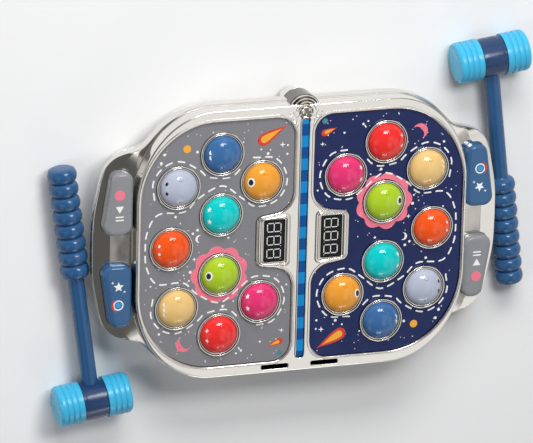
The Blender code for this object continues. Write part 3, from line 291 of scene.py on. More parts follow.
def item_of(name, build, side=1):
    """A scene object from a function that fills a mesh; a side of -1 turns it half round."""
    mesh = bmesh.new()
    build(mesh)
    bmesh.ops.recalc_face_normals(mesh, faces=mesh.faces)
    data = bpy.data.meshes.new(name)
    mesh.to_mesh(data)
    mesh.free()
    data.transform(Matrix.Diagonal((side * MM, side * MM, MM, 1)))
    return put(name, data)


def apply_modifiers(item):
    graph = bpy.context.evaluated_depsgraph_get()
    result = bpy.data.meshes.new_from_object(item.evaluated_get(graph), depsgraph=graph)
    item.modifiers.clear()
    old = item.data
    item.data = result
    bpy.data.meshes.remove(old)
    result.name = item.name


def settle(item):
    """Shades a piece smooth, but for its sharp edges and flat faces."""
    item.data.shade_smooth()
    item.data.set_sharp_from_angle(angle=SHARP_ANGLE)
    weigh = item.modifiers.new("weigh", "WEIGHTED_NORMAL")
    weigh.keep_sharp = True
    apply_modifiers(item)


def piece(name, build, material, body="console", stands_for=(), side=1):
    """A finished piece from a function that fills a mesh in the shared frame."""
    item = item_of(name, build, side)
    item.data.materials.append(material)
    settle(item)
    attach(item, body)
    if stands_for:
        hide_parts(*stands_for)
    return item


def carve(item, *builds, side=1):
    """Cuts bodies out of a piece and keeps the result as its mesh."""
    made = bpy.data.collections.new("carving")
    tools = [item_of("carving", build, side) for build in builds]
    for tool in tools:
        made.objects.link(tool)
    cutting = item.modifiers.new("carving", "BOOLEAN")
    cutting.operation = "DIFFERENCE"
    cutting.solver = "MANIFOLD"
    cutting.operand_type = "COLLECTION"
    cutting.collection = made
    apply_modifiers(item)
    settle(item)
    for tool in tools:
        bpy.data.objects.remove(tool)
    bpy.data.collections.remove(made)


# Finishes

def add(tree, kind, inputs=(), **settings):
    """A new node with its settings made; each input is a value or a socket to link from."""
    node = tree.nodes.new(kind)
    for name, value in settings.items():
        setattr(node, name, value)
    for label, value in dict(inputs).items():
        if isinstance(value, bpy.types.NodeSocket):
            tree.links.new(value, node.inputs[label])
        else:
            node.inputs[label].default_value = value
    return node


def group_of(name, inputs, outputs):
    """An empty shader group with named sockets, and its input sockets and output node."""
    group = bpy.data.node_groups.new(name, "ShaderNodeTree")
    for label, default in inputs.items():
        socket = group.interface.new_socket(label, in_out="INPUT", socket_type="NodeSocketFloat")
        socket.default_value = default
    for label, kind in outputs.items():
        group.interface.new_socket(label, in_out="OUTPUT", socket_type=kind)
    return group, group.nodes.new("NodeGroupInput").outputs, group.nodes.new("NodeGroupOutput")


def moulded_group():
    """Fine unevenness of a moulded surface: a drifting roughness, and a normal with soft waves and grain."""
    inputs = {
        "Wave Scale": 60.0, "Wave Height": 0.1, "Grain Height": 0.02, "Rough Low": 0.1, "Rough High": 0.2}
    group, given, made = group_of(
        "moulded_surface", inputs, {"Roughness": "NodeSocketFloat", "Normal": "NodeSocketVector"})
    place = add(group, "ShaderNodeTexCoord").outputs["Object"]
    wave = add(group, "ShaderNodeTexNoise", {"Vector": place, "Scale": given["Wave Scale"], "Detail": 1.5})
    grain = add(group, "ShaderNodeTexNoise", {"Vector": place, "Scale": 2600, "Detail": 3})
    drift = add(group, "ShaderNodeMapRange", {
        "Value": wave.outputs["Fac"], "From Min": 0.3, "From Max": 0.7,
        "To Min": given["Rough Low"], "To Max": given["Rough High"]})
    soft = add(group, "ShaderNodeBump", {
        "Distance": 0.001, "Strength": given["Wave Height"], "Height": wave.outputs["Fac"]})
    fine = add(group, "ShaderNodeBump", {
        "Distance": 0.0002, "Strength": given["Grain Height"], "Height": grain.outputs["Fac"],
        "Normal": soft.outputs["Normal"]})
    group.links.new(drift.outputs["Result"], made.inputs["Roughness"])
    group.links.new(fine.outputs["Normal"], made.inputs["Normal"])
    return group


def tint_group():
    """A mask of slow colour drift."""
    group, given, made = group_of("tint_drift", {"Scale": 25.0}, {"Drift": "NodeSocketFloat"})
    place = add(group, "ShaderNodeTexCoord").outputs["Object"]
    noise = add(group, "ShaderNodeTexNoise", {"Vector": place, "Scale": given["Scale"], "Detail": 4})
    group.links.new(noise.outputs["Fac"], made.inputs["Drift"])
    return group


MOULDED = moulded_group()
TINT = tint_group()


def finish(name, seen, low=0.15, high=0.25, wave=0.05, wave_scale=60.0, grain=0.02, metallic=0.0,
           coat=0.0, drift=0.06, specular=0.5):
    """A moulded finish: its own colour, drifting a little, with the shared surface unevenness."""
    material = bpy.data.materials.new(name)
    material.use_nodes = True
    tree = material.node_tree
    surface = add(tree, "ShaderNodeGroup", node_tree=MOULDED)
    for label, value in (
            ("Wave Scale", wave_scale), ("Wave Height", wave), ("Grain Height", grain),
            ("Rough Low", low), ("Rough High", high)):
        surface.inputs[label].default_value = value
    tint = add(tree, "ShaderNodeGroup", node_tree=TINT)
    colour = Vector(paint(*seen)[:3])
    pale, deep = ((*(min(1, channel) for channel in colour * share), 1) for share in (1 + drift, 1 - drift))
    mix = add(
        tree, "ShaderNodeMix", {"A": deep, "B": pale, "Factor": tint.outputs["Drift"]}, data_type="RGBA")
    shader = tree.nodes["Principled BSDF"]
    for label, value in (
            ("Metallic", metallic), ("Specular IOR Level", specular), ("Coat Weight", coat),
            ("Coat Roughness", 0.05)):
        shader.inputs[label].default_value = value
    for label, source in (
            ("Roughness", surface.outputs["Roughness"]), ("Normal", surface.outputs["Normal"]),
            ("Base Color", mix.outputs["Result"])):
        tree.links.new(source, shader.inputs[label])
    return material


MIRROR = finish("mirror_silver", (232, 229, 224), 0.06, 0.12, 0.3, 34.0, 0.01, 1.0, drift=0.02)
# The mirror silver made darker: painted shade, used on the boss between its bright arcs
SILVER_PAINTED_SHADE = finish("silver_painted_shade", (128, 124, 118), 0.14, 0.22, 0.2, 34.0, 0.02, 1.0, drift=0.05)
# A dark finish painted on thin rings in the grooves of the collars and display frames, as the shade in those
# grooves
PAINTED_GROOVE_SHADE = finish("groove_painted_shade", (52, 50, 47), 0.4, 0.5, 0.02, specular=0.2)
BAY = finish("bay_plastic", (92, 94, 98), 0.35, 0.5, 0.03)
INKS = {
    name: finish(f"printed_{name}", seen, 0.35, 0.45, 0.0, drift=0.05)
    for name, seen in {
        "pink": (236, 120, 140), "red": (205, 62, 48), "yellow": (238, 168, 58),
        "teal": (70, 130, 140), "cyan": (60, 150, 205)}.items()}
INKS["white"] = finish("printed_white", (238, 238, 236), 0.3, 0.4, 0.0, drift=0.02)
INKS["black"] = finish("printed_black", (20, 20, 22), 0.25, 0.35, 0.0, drift=0.1)
PANEL_LOOKS = {
    "left": finish("grey_panel", (124, 124, 128), 0.22, 0.34, 0.02, grain=0.03, coat=0.1, specular=0.4),
    "right": finish(
        "navy_panel", (26, 38, 84), 0.2, 0.32, 0.02, grain=0.03, coat=0.06, drift=0.2, specular=0.24)}
BUTTON_LOOKS = {
    "grey": finish("button_grey", (134, 136, 139), 0.22, 0.32, 0.04, grain=0.03),
    "blue": finish("button_blue", (50, 92, 134), 0.18, 0.28, 0.04, grain=0.03)}
MALLET_BLUE = finish("mallet_blue", (40, 84, 128), 0.16, 0.26, 0.05, grain=0.02)
MALLET_DARK = finish("mallet_dark", (26, 56, 96), 0.2, 0.3, 0.04)
CAP_CYAN = finish("cap_cyan", (60, 175, 215), 0.25, 0.35, 0.03)
GLASS_BLACK = finish("display_black", (10, 10, 11), 0.08, 0.14, 0.02, drift=0.1, specular=0.22)
DIGIT = finish("display_digit", (230, 232, 230), 0.3, 0.4, 0.0, drift=0.04)

DOME_PAINTS = {
    "amber": (232, 156, 52),
    "pink": (222, 52, 112),
    "blue": (58, 104, 156),
    "teal": (8, 196, 194),
    "lime": (168, 200, 40),
    "red": (232, 48, 46),
    "grey": (176, 183, 200),
    "orange": (236, 84, 26),
    "beige": (228, 190, 122),
}
DOME_FINISHES = {
    name: finish(
        f"mole_{name}", seen, 0.05, 0.1, 0.03, 30.0, 0.01, coat=0.3, drift=0.05, specular=0.35)
    for name, seen in DOME_PAINTS.items()}


# The console's chrome top

SLOPE_START = 183
SLOPE_LENGTH = 25.5
SLOPE_FALL = 3.5
SLOPE_REACH = 16
SLOPE_DROP = 1.6
EDGE_FALL = 1.5
EDGE_WIDTH = 1.5
RIM_WIDTH = 3.2
WALL = 3
THICK = 2.5


def slope_share(x):
    """How far along an end deck's slope a place lies, from 0 to 1."""
    return min(1.0, max(0.0, (abs(x) - SLOPE_START) / SLOPE_LENGTH))


def eased(line, cut, steps=4):
    """A line of points with its inner corners curved; cut is one length, or one for each corner."""
    cuts = cut if isinstance(cut, (list, tuple)) else [cut] * (len(line) - 2)
    points = [Vector(line[0])]
    for before, here, after, size in zip(line, line[1:], line[2:], cuts):
        here = Vector(here)
        back = Vector(before) - here
        forward = Vector(after) - here
        start = here + back.normalized() * min(size, back.length * 0.48)
        end = here + forward.normalized() * min(size, forward.length * 0.48)
        for step in range(steps + 1):
            t = step / steps
            points.append(start * (1 - t) ** 2 + here * 2 * t * (1 - t) + end * t ** 2)
    points.append(Vector(line[-1]))
    return points


def on_ray(outline, point):
    """Where the line from the centre through a point meets an outline."""
    way = Vector(point).normalized()
    across = Vector((-way.y, way.x))
    for index, corner in enumerate(outline):
        first, second = Vector(outline[index - 1]), Vector(corner)
        low, high = first.dot(across), second.dot(across)
        if low <= 0 < high or high <= 0 < low:
            hit = first.lerp(second, low / (low - high))
            if hit.dot(way) > 0:
                return hit
    return Vector(point)


def eased_pairs(line, cut, steps=4):
    """An eased line of (distance, height)."""
    return [(max(0.0, p.x), p.y) for p in eased(line, cut, steps)]


def sections(mesh, lines):
    """A body from one line of points for each step round it."""
    rings = list(zip(*lines))
    loft(mesh, [([(p.x, p.y) for p in ring], [p.z for p in ring]) for ring in rings])


def case_top(mesh):
    edge_in = shrunk(BASE, EDGE_WIDTH)
    wall_in = shrunk(BASE, WALL)
    platform_in = shrunk(PLATFORM, WALL)
    rim_in = shrunk(PLATFORM, RIM_WIDTH)
    lines = []
    for index, (x, y) in enumerate(BASE):
        share = slope_share(x)
        fall = EDGE_FALL + SLOPE_FALL * share
        flat_x, flat_y = edge_in[index]
        flat_x -= math.copysign(SLOPE_REACH * share, x)
        foot = on_ray(PLATFORM, (x, y))
        inner = on_ray(platform_in, (x, y))
        rim = on_ray(rim_in, (x, y))
        low_x, low_y = wall_in[index]
        under = DECK - THICK - SLOPE_FALL * share
        lines.append(eased([
            (inner.x, inner.y, SEAT - THICK),
            (inner.x, inner.y, DECK - THICK),
            (low_x, low_y, under),
            (low_x, low_y, SPLIT),
            (x, y, SPLIT),
            (x, y, DECK - fall),
            (flat_x, flat_y, DECK - SLOPE_DROP * share),
            (foot.x, foot.y, DECK),
            (foot.x, foot.y, RIM),
            (rim.x, rim.y, RIM),
        ], [0.2, 0.2, 0.2, 0.3, 1.0, 1.0, 0.8, 2.2]))
    sections(mesh, lines)


def flared(outline, low, high, flare):
    """Rings of a cutter whose mouth widens in a quarter round, to round the edge that it leaves."""
    rings = [(outline, low)]
    steps = 5
    for step in range(steps + 1):
        angle = math.pi / 2 * step / steps
        out = flare * (1 - math.cos(angle))
        rings.append((shrunk(outline, -out) if out else outline, high - flare + flare * math.sin(angle)))
    return rings + [(rings[-1][0], high + 3)]


BEZEL = rounded([
    (DISPLAY_X - 18, -30.3), (DISPLAY_X + 18, -24.8),
    (DISPLAY_X + 18, 24.8), (DISPLAY_X - 18, 30.3)], 6)
BEZEL_MOUTH = rounded(rectangle_at(DISPLAY_X, 0, 23.4, 46.4), 1.5)
WINDOW = rounded(rectangle_at(DISPLAY_X, 0, 23, 46), 1.5, 3)
BAR = rounded(rectangle_at(0, 0, BAR_WIDTH, 2 * BAR_HALF), BAR_WIDTH / 2 - 0.01, 8)
BUTTON = rounded([(183.2, 16.5), (216.5, 16.5), (206, 84.8), (183.2, 84.8)], 10.5, 10)
COIN_SLOTS = [rounded(rectangle_at(side * 27.5, -140, 30, 5), 2.4, 6) for side in SIDES.values()]
CUT_LOW = 50


def placed_button(outline, end, row):
    points = [(x * end, y * row) for x, y in outline]
    return points if end * row > 0 else list(reversed(points))


def cut_seats(mesh):
    for side in HALVES.values():
        loft(mesh, flared(turned_round(shrunk(PANEL, -0.3), side), SEAT, RIM, 1.2))


def cut_holes(mesh):
    for x, y in DOME_POINTS:
        plug(mesh, HOLE_RADIUS, CUT_LOW, RIM + 3, 48, x, y)
    for side in HALVES.values():
        slab(mesh, turned_round(shrunk(WINDOW, -0.4), side), CUT_LOW, RIM + 5)
    loft(mesh, flared(shrunk(BAR, -0.3), CUT_LOW, RIM, 0.9))
    for outline in COIN_SLOTS:
        loft(mesh, flared(outline, CUT_LOW, RIM, 0.8))
    for end in (-1, 1):
        for row in (-1, 1):
            loft(mesh, flared(placed_button(shrunk(BUTTON, -0.5), end, row), SPLIT - 1, DECK, 0.7))


def collars(mesh):
    """The bright two-step rings round the domes."""
    low = 51.8
    line = eased_pairs([
        (HOLE_RADIUS, low), (HOLE_RADIUS, 58.4), (21.5, 58.4), (21.6, 56.9), (22.3, 56.9), (22.3, RIM),
        (COLLAR_RADIUS, RIM), (COLLAR_RADIUS, low)], 0.35, 3)
    for x, y in DOME_POINTS:
        turn_at(mesh, line, 56, x, y)


def collar_groove_shades(mesh):
    """A dark ring of painted shade laid in the groove of each collar."""
    line = ((21.4, 56.6), (22.4, 56.6), (22.4, 57.5), (21.4, 57.5))
    for x, y in DOME_POINTS:
        turn_at(mesh, line, 56, x, y)


BEZEL_WIDTH = 8


def round_bezel(mesh, line):
    """A body round a display, for points of (distance in from the frame's outer edge, height)."""
    rings = []
    for across, z in line:
        share = min(1.0, across / BEZEL_WIDTH)
        flat = [tuple(Vector(edge).lerp(Vector(mouth), share)) for edge, mouth in zip(BEZEL, BEZEL_MOUTH)]
        rings.append((flat, z))
    loft(mesh, rings, closed=True)


def bezel(mesh):
    """A display's raised frame: a wall, a groove, a second step and a slope down to the window."""
    round_bezel(mesh, eased_pairs((
        (0.0, 52), (0.0, 59.7), (1.9, 59.9), (2.3, 57.9), (3.5, 57.9), (3.8, 60.5), (5.4, 60.5),
        (BEZEL_WIDTH, 58.1), (BEZEL_WIDTH, 52)), 0.45, 3))


def bezel_groove_shade(mesh):
    """A dark ring of painted shade laid in the groove of a display's frame."""
    round_bezel(mesh, ((2.1, 57.5), (2.1, 58.5), (3.7, 58.5), (3.7, 57.5)))


def bar_lip(mesh):
    """The raised lip of the channel that holds the light bar."""
    steps = ((0.4, 54), (0.4, 59.5), (1.0, 59.8), (1.7, 59.5), (2.2, 58.6), (2.2, 54))
    loft(mesh, [(shrunk(BAR, -out), z) for out, z in steps], closed=True)


def panel_ridge(mesh):
    """A low ridge on the rim, all round one play panel."""
    steps = ((1.7, 58), (1.75, 59.1), (2.15, 59.65), (2.95, 59.65), (3.55, 59.1), (3.7, 58))
    loft(mesh, [(shrunk(PANEL, -out), z) for out, z in steps], closed=True)


def boss_base(mesh):
    """The round boss of the far side, rising to the rim; its darker silver is painted shade between the
    bright arcs.
    """
    line = [(0, 31), (18, 31), (18, 52), (17, 52.9), (9.6, 57.9), (7.6, RIM + 0.1), (0, RIM + 0.1)]
    turn_at(mesh, eased_pairs(line, 0.4, 3), 72, 0, BOSS_Y)


def boss_arcs(mesh):
    """Raised arcs on the boss, one outside another."""
    for radius, high in ((16.6, 54.6), (13.8, 56.8), (11.0, 59.0), (8.2, 60.3), (5.4, 60.3)):
        edges = []
        for inset in (0.0, 0.3):
            outside = arc((0, BOSS_Y), [radius + 0.6 - inset] * 2, 8 + inset, 172 - inset, 32)
            inside = arc((0, BOSS_Y), [radius - 0.6 + inset] * 2, 172 - inset, 8 + inset, 32)
            edges.append(outside + inside)
        loft(mesh, [(edges[0], high - 3), (edges[0], high - 0.3), (edges[1], high)])


# Raised marks by the boss: studs by (x, y, size), ridges by (x, y, length, lean in degrees)
STUDS = (
    (-3, 139, 1.5), (3.4, 140.5, 1.1), (0.4, 143.5, 0.9), (-12.5, 131.5, 1.0), (12.8, 132.0, 1.2),
    (0.2, 136, 0.8), (17.5, 137.5, 0.8), (-17.0, 138, 0.9))
RIDGES = ((-7.5, 134.5, 7, 40), (7.5, 135, 6, -35), (5.5, 141.2, 5, 60), (-6.2, 141.5, 5, -50))
RIDGE_PAIRS = ((12.5, 136.8, 6, 60), (9.8, 128.6, 5, -75), (8.6, 123.6, 3.4, -80), (16.4, 134, 4.4, -15))


def boss_studs(mesh):
    stud = ((0, 1.1), (0.8, 0.9), (1.3, 0.4), (1.4, -0.6), (0, -0.6))
    for x, y, size in STUDS:
        place = Matrix.Translation((x, y, RIM - 0.3)) @ Matrix.Diagonal((size, size, 0.8, 1))
        turn(mesh, stud, 20, place)
    pairs = [(side * x, y, length, side * lean) for x, y, length, lean in RIDGE_PAIRS for side in (1, -1)]
    for x, y, length, lean in (*RIDGES, *pairs):
        flat = rounded(rectangle_at(0, 0, length, 1.5), 0.7, 4)
        flat = moved(tilted(flat, lean), x, y)
        loft(mesh, [(flat, RIM - 1.2), (flat, RIM + 0.1), (shrunk(flat, 0.35), RIM + 0.45)])


def top_piece(name, build, material=MIRROR, side=1):
    return piece(name, build, material, stands_for=["upper_case"], side=side)


carve(top_piece("console_top", case_top), cut_seats, cut_holes)
top_piece("dome_collars", collars)
top_piece("collar_groove_shades", collar_groove_shades, PAINTED_GROOVE_SHADE)
top_piece("boss_base", boss_base, SILVER_PAINTED_SHADE)
top_piece("boss_arcs", boss_arcs)
top_piece("boss_studs", boss_studs)
top_piece("bar_lip", bar_lip)
for name, side in SIDES.items():
    top_piece(f"display_bezel_{name}", bezel, side=side)
    top_piece(f"bezel_groove_shade_{name}", bezel_groove_shade, PAINTED_GROOVE_SHADE, side)
    top_piece(f"panel_ridge_{name}", panel_ridge, side=side)


# The lower half of the case

POSTS = [(x * 108, y * 131.5) for x in (-1, 1) for y in (-1, 1)] + [(-201, 0), (201, 0)]
FEET = [(x * 150, y * 92) for x in (-1, 1) for y in (-1, 1)]
FOOT_SHARE = 0.955
FOOT_TOP = 7
FOOT_ROUND = 4
FOOT_SEAT_RADIUS = 8.4
FOOT_SEAT_TOP = 3.6
SCREW_HOLE_RADIUS = 2.4
SCREW_HOLE_TOP = 5
FLOOR_ROUND = 5
FLOOR_LOW = 3
INNER_FLOOR = 5.5
BELOW = 1
SPEAKER_X = 85
SPEAKER_RADIUS = 18
BAY_Y = 89
BAY_OUTER = (62.5, 51)
BAY_INNER = (57.5, 46)

# Openings cut as boxes, by their two far corners
DOOR_SEAT = ((-32.25, 62.5, BELOW), (41.25, 115.5, 5.3))
DOOR_MOUTH = ((-28.75, 66, 5.2), (28.75, 112, 7))
DRAWER_MOUTH = ((-49, -152, 6), (49, -136.3, 23))


def case_base(mesh):
    foot = [(x * FOOT_SHARE, y * FOOT_SHARE) for x, y in BASE]
    foot_low = shrunk(foot, FOOT_ROUND)
    foot_in = shrunk(foot, WALL)
    floor_in = shrunk(foot, FLOOR_ROUND)
    top_in = shrunk(BASE, WALL)
    split = SPLIT - 0.3
    lines = []
    for index, (x, y) in enumerate(BASE):
        lines.append(eased([
            (*floor_in[index], INNER_FLOOR), (*foot_in[index], FOOT_TOP), (*top_in[index], split),
            (x, y, split), (*foot[index], FOOT_TOP), (*foot_low[index], FLOOR_LOW)],
            [0.5, 0.2, 0.4, 2.5]))
    sections(mesh, lines)


def block(mesh, low, high):
    flat = [(low[0], low[1]), (high[0], low[1]), (high[0], high[1]), (low[0], high[1])]
    slab(mesh, flat, low[2], high[2])


def cut_underside(mesh):
    """The battery door's seat and mouth, the drawer's mouth, speaker slots, screw holes and feet seats."""
    for low, high in (DOOR_SEAT, DOOR_MOUTH, DRAWER_MOUTH):
        block(mesh, low, high)
    for index in range(5):
        offset = (index - 2) * 7
        half = math.sqrt(SPEAKER_RADIUS ** 2 - offset ** 2)
        slot = rounded(rectangle_at(SPEAKER_X + offset, 0, 2.5, 2 * half), 1.2, 4)
        slab(mesh, slot, BELOW, 8)
    for x, y in POSTS:
        plug(mesh, SCREW_HOLE_RADIUS, BELOW, SCREW_HOLE_TOP, 20, x, y)
    for x, y in FEET:
        plug(mesh, FOOT_SEAT_RADIUS, BELOW, FOOT_SEAT_TOP, 40, x, y)


def boss_foot(mesh):
    top_z = SPLIT - 0.3
    line = [(0, 5), (10, FLOOR_LOW), (12, FLOOR_LOW), (18, top_z), (0, top_z)]
    turn_at(mesh, eased_pairs(line, [0.5, 1.5, 0.4]), 64, 0, BOSS_Y)


def battery_bay(mesh):
    outer, inner = (rectangle_at(0, BAY_Y, *size) for size in (BAY_OUTER, BAY_INNER))
    low = INNER_FLOOR + 0.2
    loft(mesh, [(inner, 20.7), (inner, low), (outer, low), (outer, 23.2)])


def base_piece(name, build, material=MIRROR):
    return piece(name, build, material, stands_for=["lower_case"])


carve(base_piece("console_base", case_base), cut_underside)
base_piece("boss_foot", boss_foot)
base_piece("battery_bay", battery_bay, BAY)


# Panels, displays and the light bar

def panel(mesh):
    loft(mesh, [
        (PANEL, SEAT + 0.3), (PANEL, PANEL_TOP - 0.3), (shrunk(PANEL, 0.1), PANEL_TOP - 0.1),
        (shrunk(PANEL, 0.3), PANEL_TOP)])


def panel_holes(mesh):
    for x, y in DOMES.values():
        plug(mesh, COLLAR_RADIUS + 0.3, SEAT - 2, SEAT + 4, 48, -x, -y)


for name, side in SIDES.items():
    sheet = piece(f"panel_{name}", panel, PANEL_LOOKS[name], stands_for=[f"play_panel_{name}"],
                  side=side)
    carve(sheet, panel_holes, side=side)


GLASS_TOP = 58
BLOCK_PAIR = 25
LENS_LOW = 51


def window(mesh):
    loft(mesh, [(WINDOW, GLASS_TOP - 1.5), (WINDOW, GLASS_TOP - 0.2), (shrunk(WINDOW, 0.2), GLASS_TOP)])


def digits(mesh, side):
    """Three figures lying on their side, each of seven bars with a dot beside it."""
    low, high = GLASS_TOP - 0.1, GLASS_TOP + 0.04
    x_out, y_out, thick = 7.4, 4.6, 0.85
    bars = [(x, y, 6.0, thick) for x in (-3.6, 3.6) for y in (-y_out, y_out)]
    bars += [(x, 0, thick, 8.0) for x in (-x_out, 0, x_out)]
    for row in (-1, 0, 1):
        for x, y, length, width in bars:
            flat = rounded(rectangle_at(DISPLAY_X + x, row * 14.3 + y, length, width), 0.3, 2)
            slab(mesh, flat, low, high)
        dot = rectangle_at(DISPLAY_X - x_out, row * 14.3 - side * 6.4, 0.9, 0.9)
        slab(mesh, rounded(dot, 0.4, 3), low, high)


for name, side in SIDES.items():
    for what, build, look in (
            ("glass", window, GLASS_BLACK), ("figures", lambda mesh: digits(mesh, side), DIGIT)):
        piece(f"display_{what}_{name}", build, look, stands_for=[f"display_window_{name}"],
              side=side)


def bar_finish():
    """The light bar: blocks of two blues along it."""
    material = finish("bar_blue", (40, 140, 205), 0.3, 0.4, 0.02, drift=0.04, specular=0.3)
    tree = material.node_tree
    place = add(tree, "ShaderNodeTexCoord").outputs["Object"]
    parts = add(tree, "ShaderNodeSeparateXYZ", {"Vector": place})
    along = add(tree, "ShaderNodeMath", {0: parts.outputs["Y"], 1: BLOCK_PAIR * MM}, operation="DIVIDE")
    part = add(tree, "ShaderNodeMath", {0: along.outputs["Value"]}, operation="FRACT")
    upper = add(tree, "ShaderNodeMath", {0: part.outputs["Value"], 1: 0.5}, operation="GREATER_THAN")
    blocks = add(tree, "ShaderNodeMix", {
        "A": paint(14, 132, 198), "B": paint(2, 74, 140), "Factor": upper.outputs["Value"]}, data_type="RGBA")
    tree.links.new(blocks.outputs["Result"], tree.nodes["Principled BSDF"].inputs["Base Color"])
    return material


def bar_lens(mesh):
    outline = shrunk(BAR, 0.1)
    top_z = RIM - 0.4
    loft(mesh, [
        (outline, LENS_LOW), (outline, top_z - 0.8), (shrunk(outline, 0.25), top_z - 0.25),
        (shrunk(outline, 0.8), top_z)])


piece("light_bar_lens", bar_lens, bar_finish(), stands_for=["light_bar"])


# Domes

DOME_SPRING = 57.8
DOME_RISE = DOME_TOP - DOME_SPRING
FLANGE_RADIUS = 22.3
FLANGE_LOW = 49.4
FLANGE_TOP = 51
EAR_RADIUS = 2.2
EAR_RISE = 1.0
EAR_REACH = 11.5


def quarter(radius, rise, step):
    """A quarter round by (radius, height), from its rim almost to its top."""
    angles = [math.radians(degrees) for degrees in range(0, 90, step)]
    return [(radius * math.cos(angle), rise * math.sin(angle)) for angle in angles]


def dome_height(x, y):
    share = min(0.999, (x * x + y * y) / DOME_RADIUS ** 2)
    return DOME_SPRING + DOME_RISE * math.sqrt(1 - share)


def dome(mesh, centre):
    """A cap with a flange, and two low bumps on its crown."""
    line = [
        (0, FLANGE_LOW), (FLANGE_RADIUS, FLANGE_LOW), (FLANGE_RADIUS, FLANGE_TOP), (DOME_RADIUS, FLANGE_TOP)]
    line += [(radius, DOME_SPRING + high) for radius, high in quarter(DOME_RADIUS, DOME_RISE, 5)]
    turn_at(mesh, line + [(0, DOME_TOP)], 64, *centre)
    ear = [(0, -EAR_RISE), (EAR_RADIUS, -EAR_RISE), *quarter(EAR_RADIUS, EAR_RISE, 15), (0, EAR_RISE)]
    for y in (-EAR_REACH, EAR_REACH):
        high = dome_height(0, y)
        lean = math.atan2(DOME_RISE ** 2 * y, DOME_RADIUS ** 2 * (high - DOME_SPRING))
        turn(mesh, ear, 20, Matrix.Translation((centre[0], centre[1] + y, high - 0.2))
             @ Matrix.Rotation(-lean, 4, "X"))


FACE_SHIFT = 2


def mark(mesh, centre, side, outline, at, lift):
    """A printed mark laid on a dome: an outline about a place that is given for a dome of the left half."""
    middle = Vector(at) + Vector((0, side * FACE_SHIFT))
    steep = max(0.35, math.sqrt(max(0.0, 1 - middle.length_squared / DOME_RADIUS ** 2)))
    out = middle.normalized()
    rings = []
    for share, rise in ((1.0, -0.35), (1.0, lift), (0.6, lift), (0.2, lift)):
        flat, heights = [], []
        for x, y in outline:
            point = Vector((x, y)) * share
            point -= out * point.dot(out) * (1 - steep)
            point += middle
            flat.append((centre[0] + side * point.x, centre[1] + side * point.y))
            heights.append(dome_height(point.x, point.y) + rise)
        rings.append((flat, heights))
    loft(mesh, rings)


def disc(radius, steps=24):
    return [
        (radius * math.cos(math.tau * k / steps), radius * math.sin(math.tau * k / steps))
        for k in range(steps)]


def star(outer, inner, tips):
    points = []
    for k in range(2 * tips):
        radius = inner if k % 2 else outer
        angle = math.radians(90) + math.pi * k / tips
        points.append((radius * math.cos(angle), radius * math.sin(angle)))
    return points


def crescent(radius, width, start, end):
    """A closed crescent between two arcs."""
    steps = 12
    outside = arc((0, 0), (radius, radius), start, end, steps)
    inside = []
    for step in range(1, steps):
        share = step / steps
        angle = math.radians(end + (start - end) * share)
        depth = radius - width * math.sin(math.pi * share)
        inside.append((depth * math.cos(angle), depth * math.sin(angle)))
    return outside + inside


EYE_REACH = 14.8


def dome_marks(colour):
    """White and black marks of a dome's face, by (outline, place)."""
    def in_row(outline, count, pitch):
        return [(outline, (-EYE_REACH, (k - (count - 1) / 2) * pitch)) for k in range(count)]

    if colour in ("amber", "lime"):
        return [(disc(4.8, 32), (-14.2, 0))], [(disc(3.2), (-14.6, 0))]
    if colour == "grey":
        return [], in_row(disc(2), 2, 10.2)
    if colour in ("teal", "pink"):
        return in_row(star(3.3, 1.6, 5), 2, 12.8), []
    if colour == "orange":
        return in_row(disc(1.6), 2, 8.4), []
    if colour == "red":
        return in_row(star(2.8, 1.1, 4), 2, 10.8), []
    return in_row(crescent(2.4, 1.2, 100, 300), 3 if colour == "beige" else 2, 5.6), []


for name, side in HALVES.items():
    for colour, (x, y) in DOMES.items():
        centre = (side * x, side * y)
        node = f"mole_{colour}_{name}"
        piece(f"dome_{colour}_{name}", lambda mesh: dome(mesh, centre), DOME_FINISHES[colour], node, [node])
        white, black = dome_marks(colour)
        over = 0.12 if white else 0.06
        for label, marks, lift in (("white", white, 0.06), ("black", black, over)):
            if not marks:
                continue

            def build(mesh):
                for outline, place in marks:
                    mark(mesh, centre, side, outline, place, lift)

            piece(f"face_{label}_{colour}_{name}", build, INKS[label], node, [node])


# Prints on the play panels, worked out for the grey half and turned half round for the navy one

PRINT_LOW = PANEL_TOP - 0.2
PRINT_TOP = PANEL_TOP + 0.06
DASH_LENGTH = 7.6
DASH_GAP = 5.2
DASH_WIDTH = 1.7
ORBIT_RADIUS = 28


def beside(dome_name, angle, radius=ORBIT_RADIUS):
    x, y = DOMES[dome_name]
    turn_by = math.radians(angle)
    return (x + radius * math.cos(turn_by), y + radius * math.sin(turn_by))


def between(first, second):
    return tuple((Vector(DOMES[first]) + Vector(DOMES[second])) / 2)


def flow(points, parts=24):
    """An open smooth curve through points."""
    made = []
    for index in range(len(points) - 1):
        b, c = Vector(points[index]), Vector(points[index + 1])
        a = Vector(points[index - 1]) if index else 2 * b - c
        d = Vector(points[index + 2]) if index + 2 < len(points) else 2 * c - b
        made += [smooth_point(a, b, c, d, part / parts) for part in range(parts)]
    return made + [Vector(points[-1])]


LONG_ORBIT = flow([
    *(beside("amber", angle) for angle in (110, 55, 0, -50, -100)),
    between("amber", "teal"), beside("teal", 88, 31), beside("teal", 140, 31), beside("grey", -75),
    (-158, 38), (-169.5, 20), (-171.6, 0), (-169.5, -20),
    (-158, -38), beside("beige", 75), beside("lime", -140, 31), beside("lime", -88, 31),
    between("lime", "pink"), beside("pink", 100), beside("pink", 50, 29), beside("pink", 0),
    beside("pink", -55), beside("pink", -105)])
SHORT_ORBITS = [
    flow([beside("grey", angle) for angle in (205, 165, 125, 85)] + [between("grey", "blue")]
         + [beside("blue", angle) for angle in (240, 290, 330)]),
    flow([beside("beige", angle) for angle in (155, 195, 235, 275)] + [between("beige", "red")]
         + [beside("red", angle) for angle in (120, 70, 30)]),
]
ORBITS = [LONG_ORBIT, *SHORT_ORBITS]


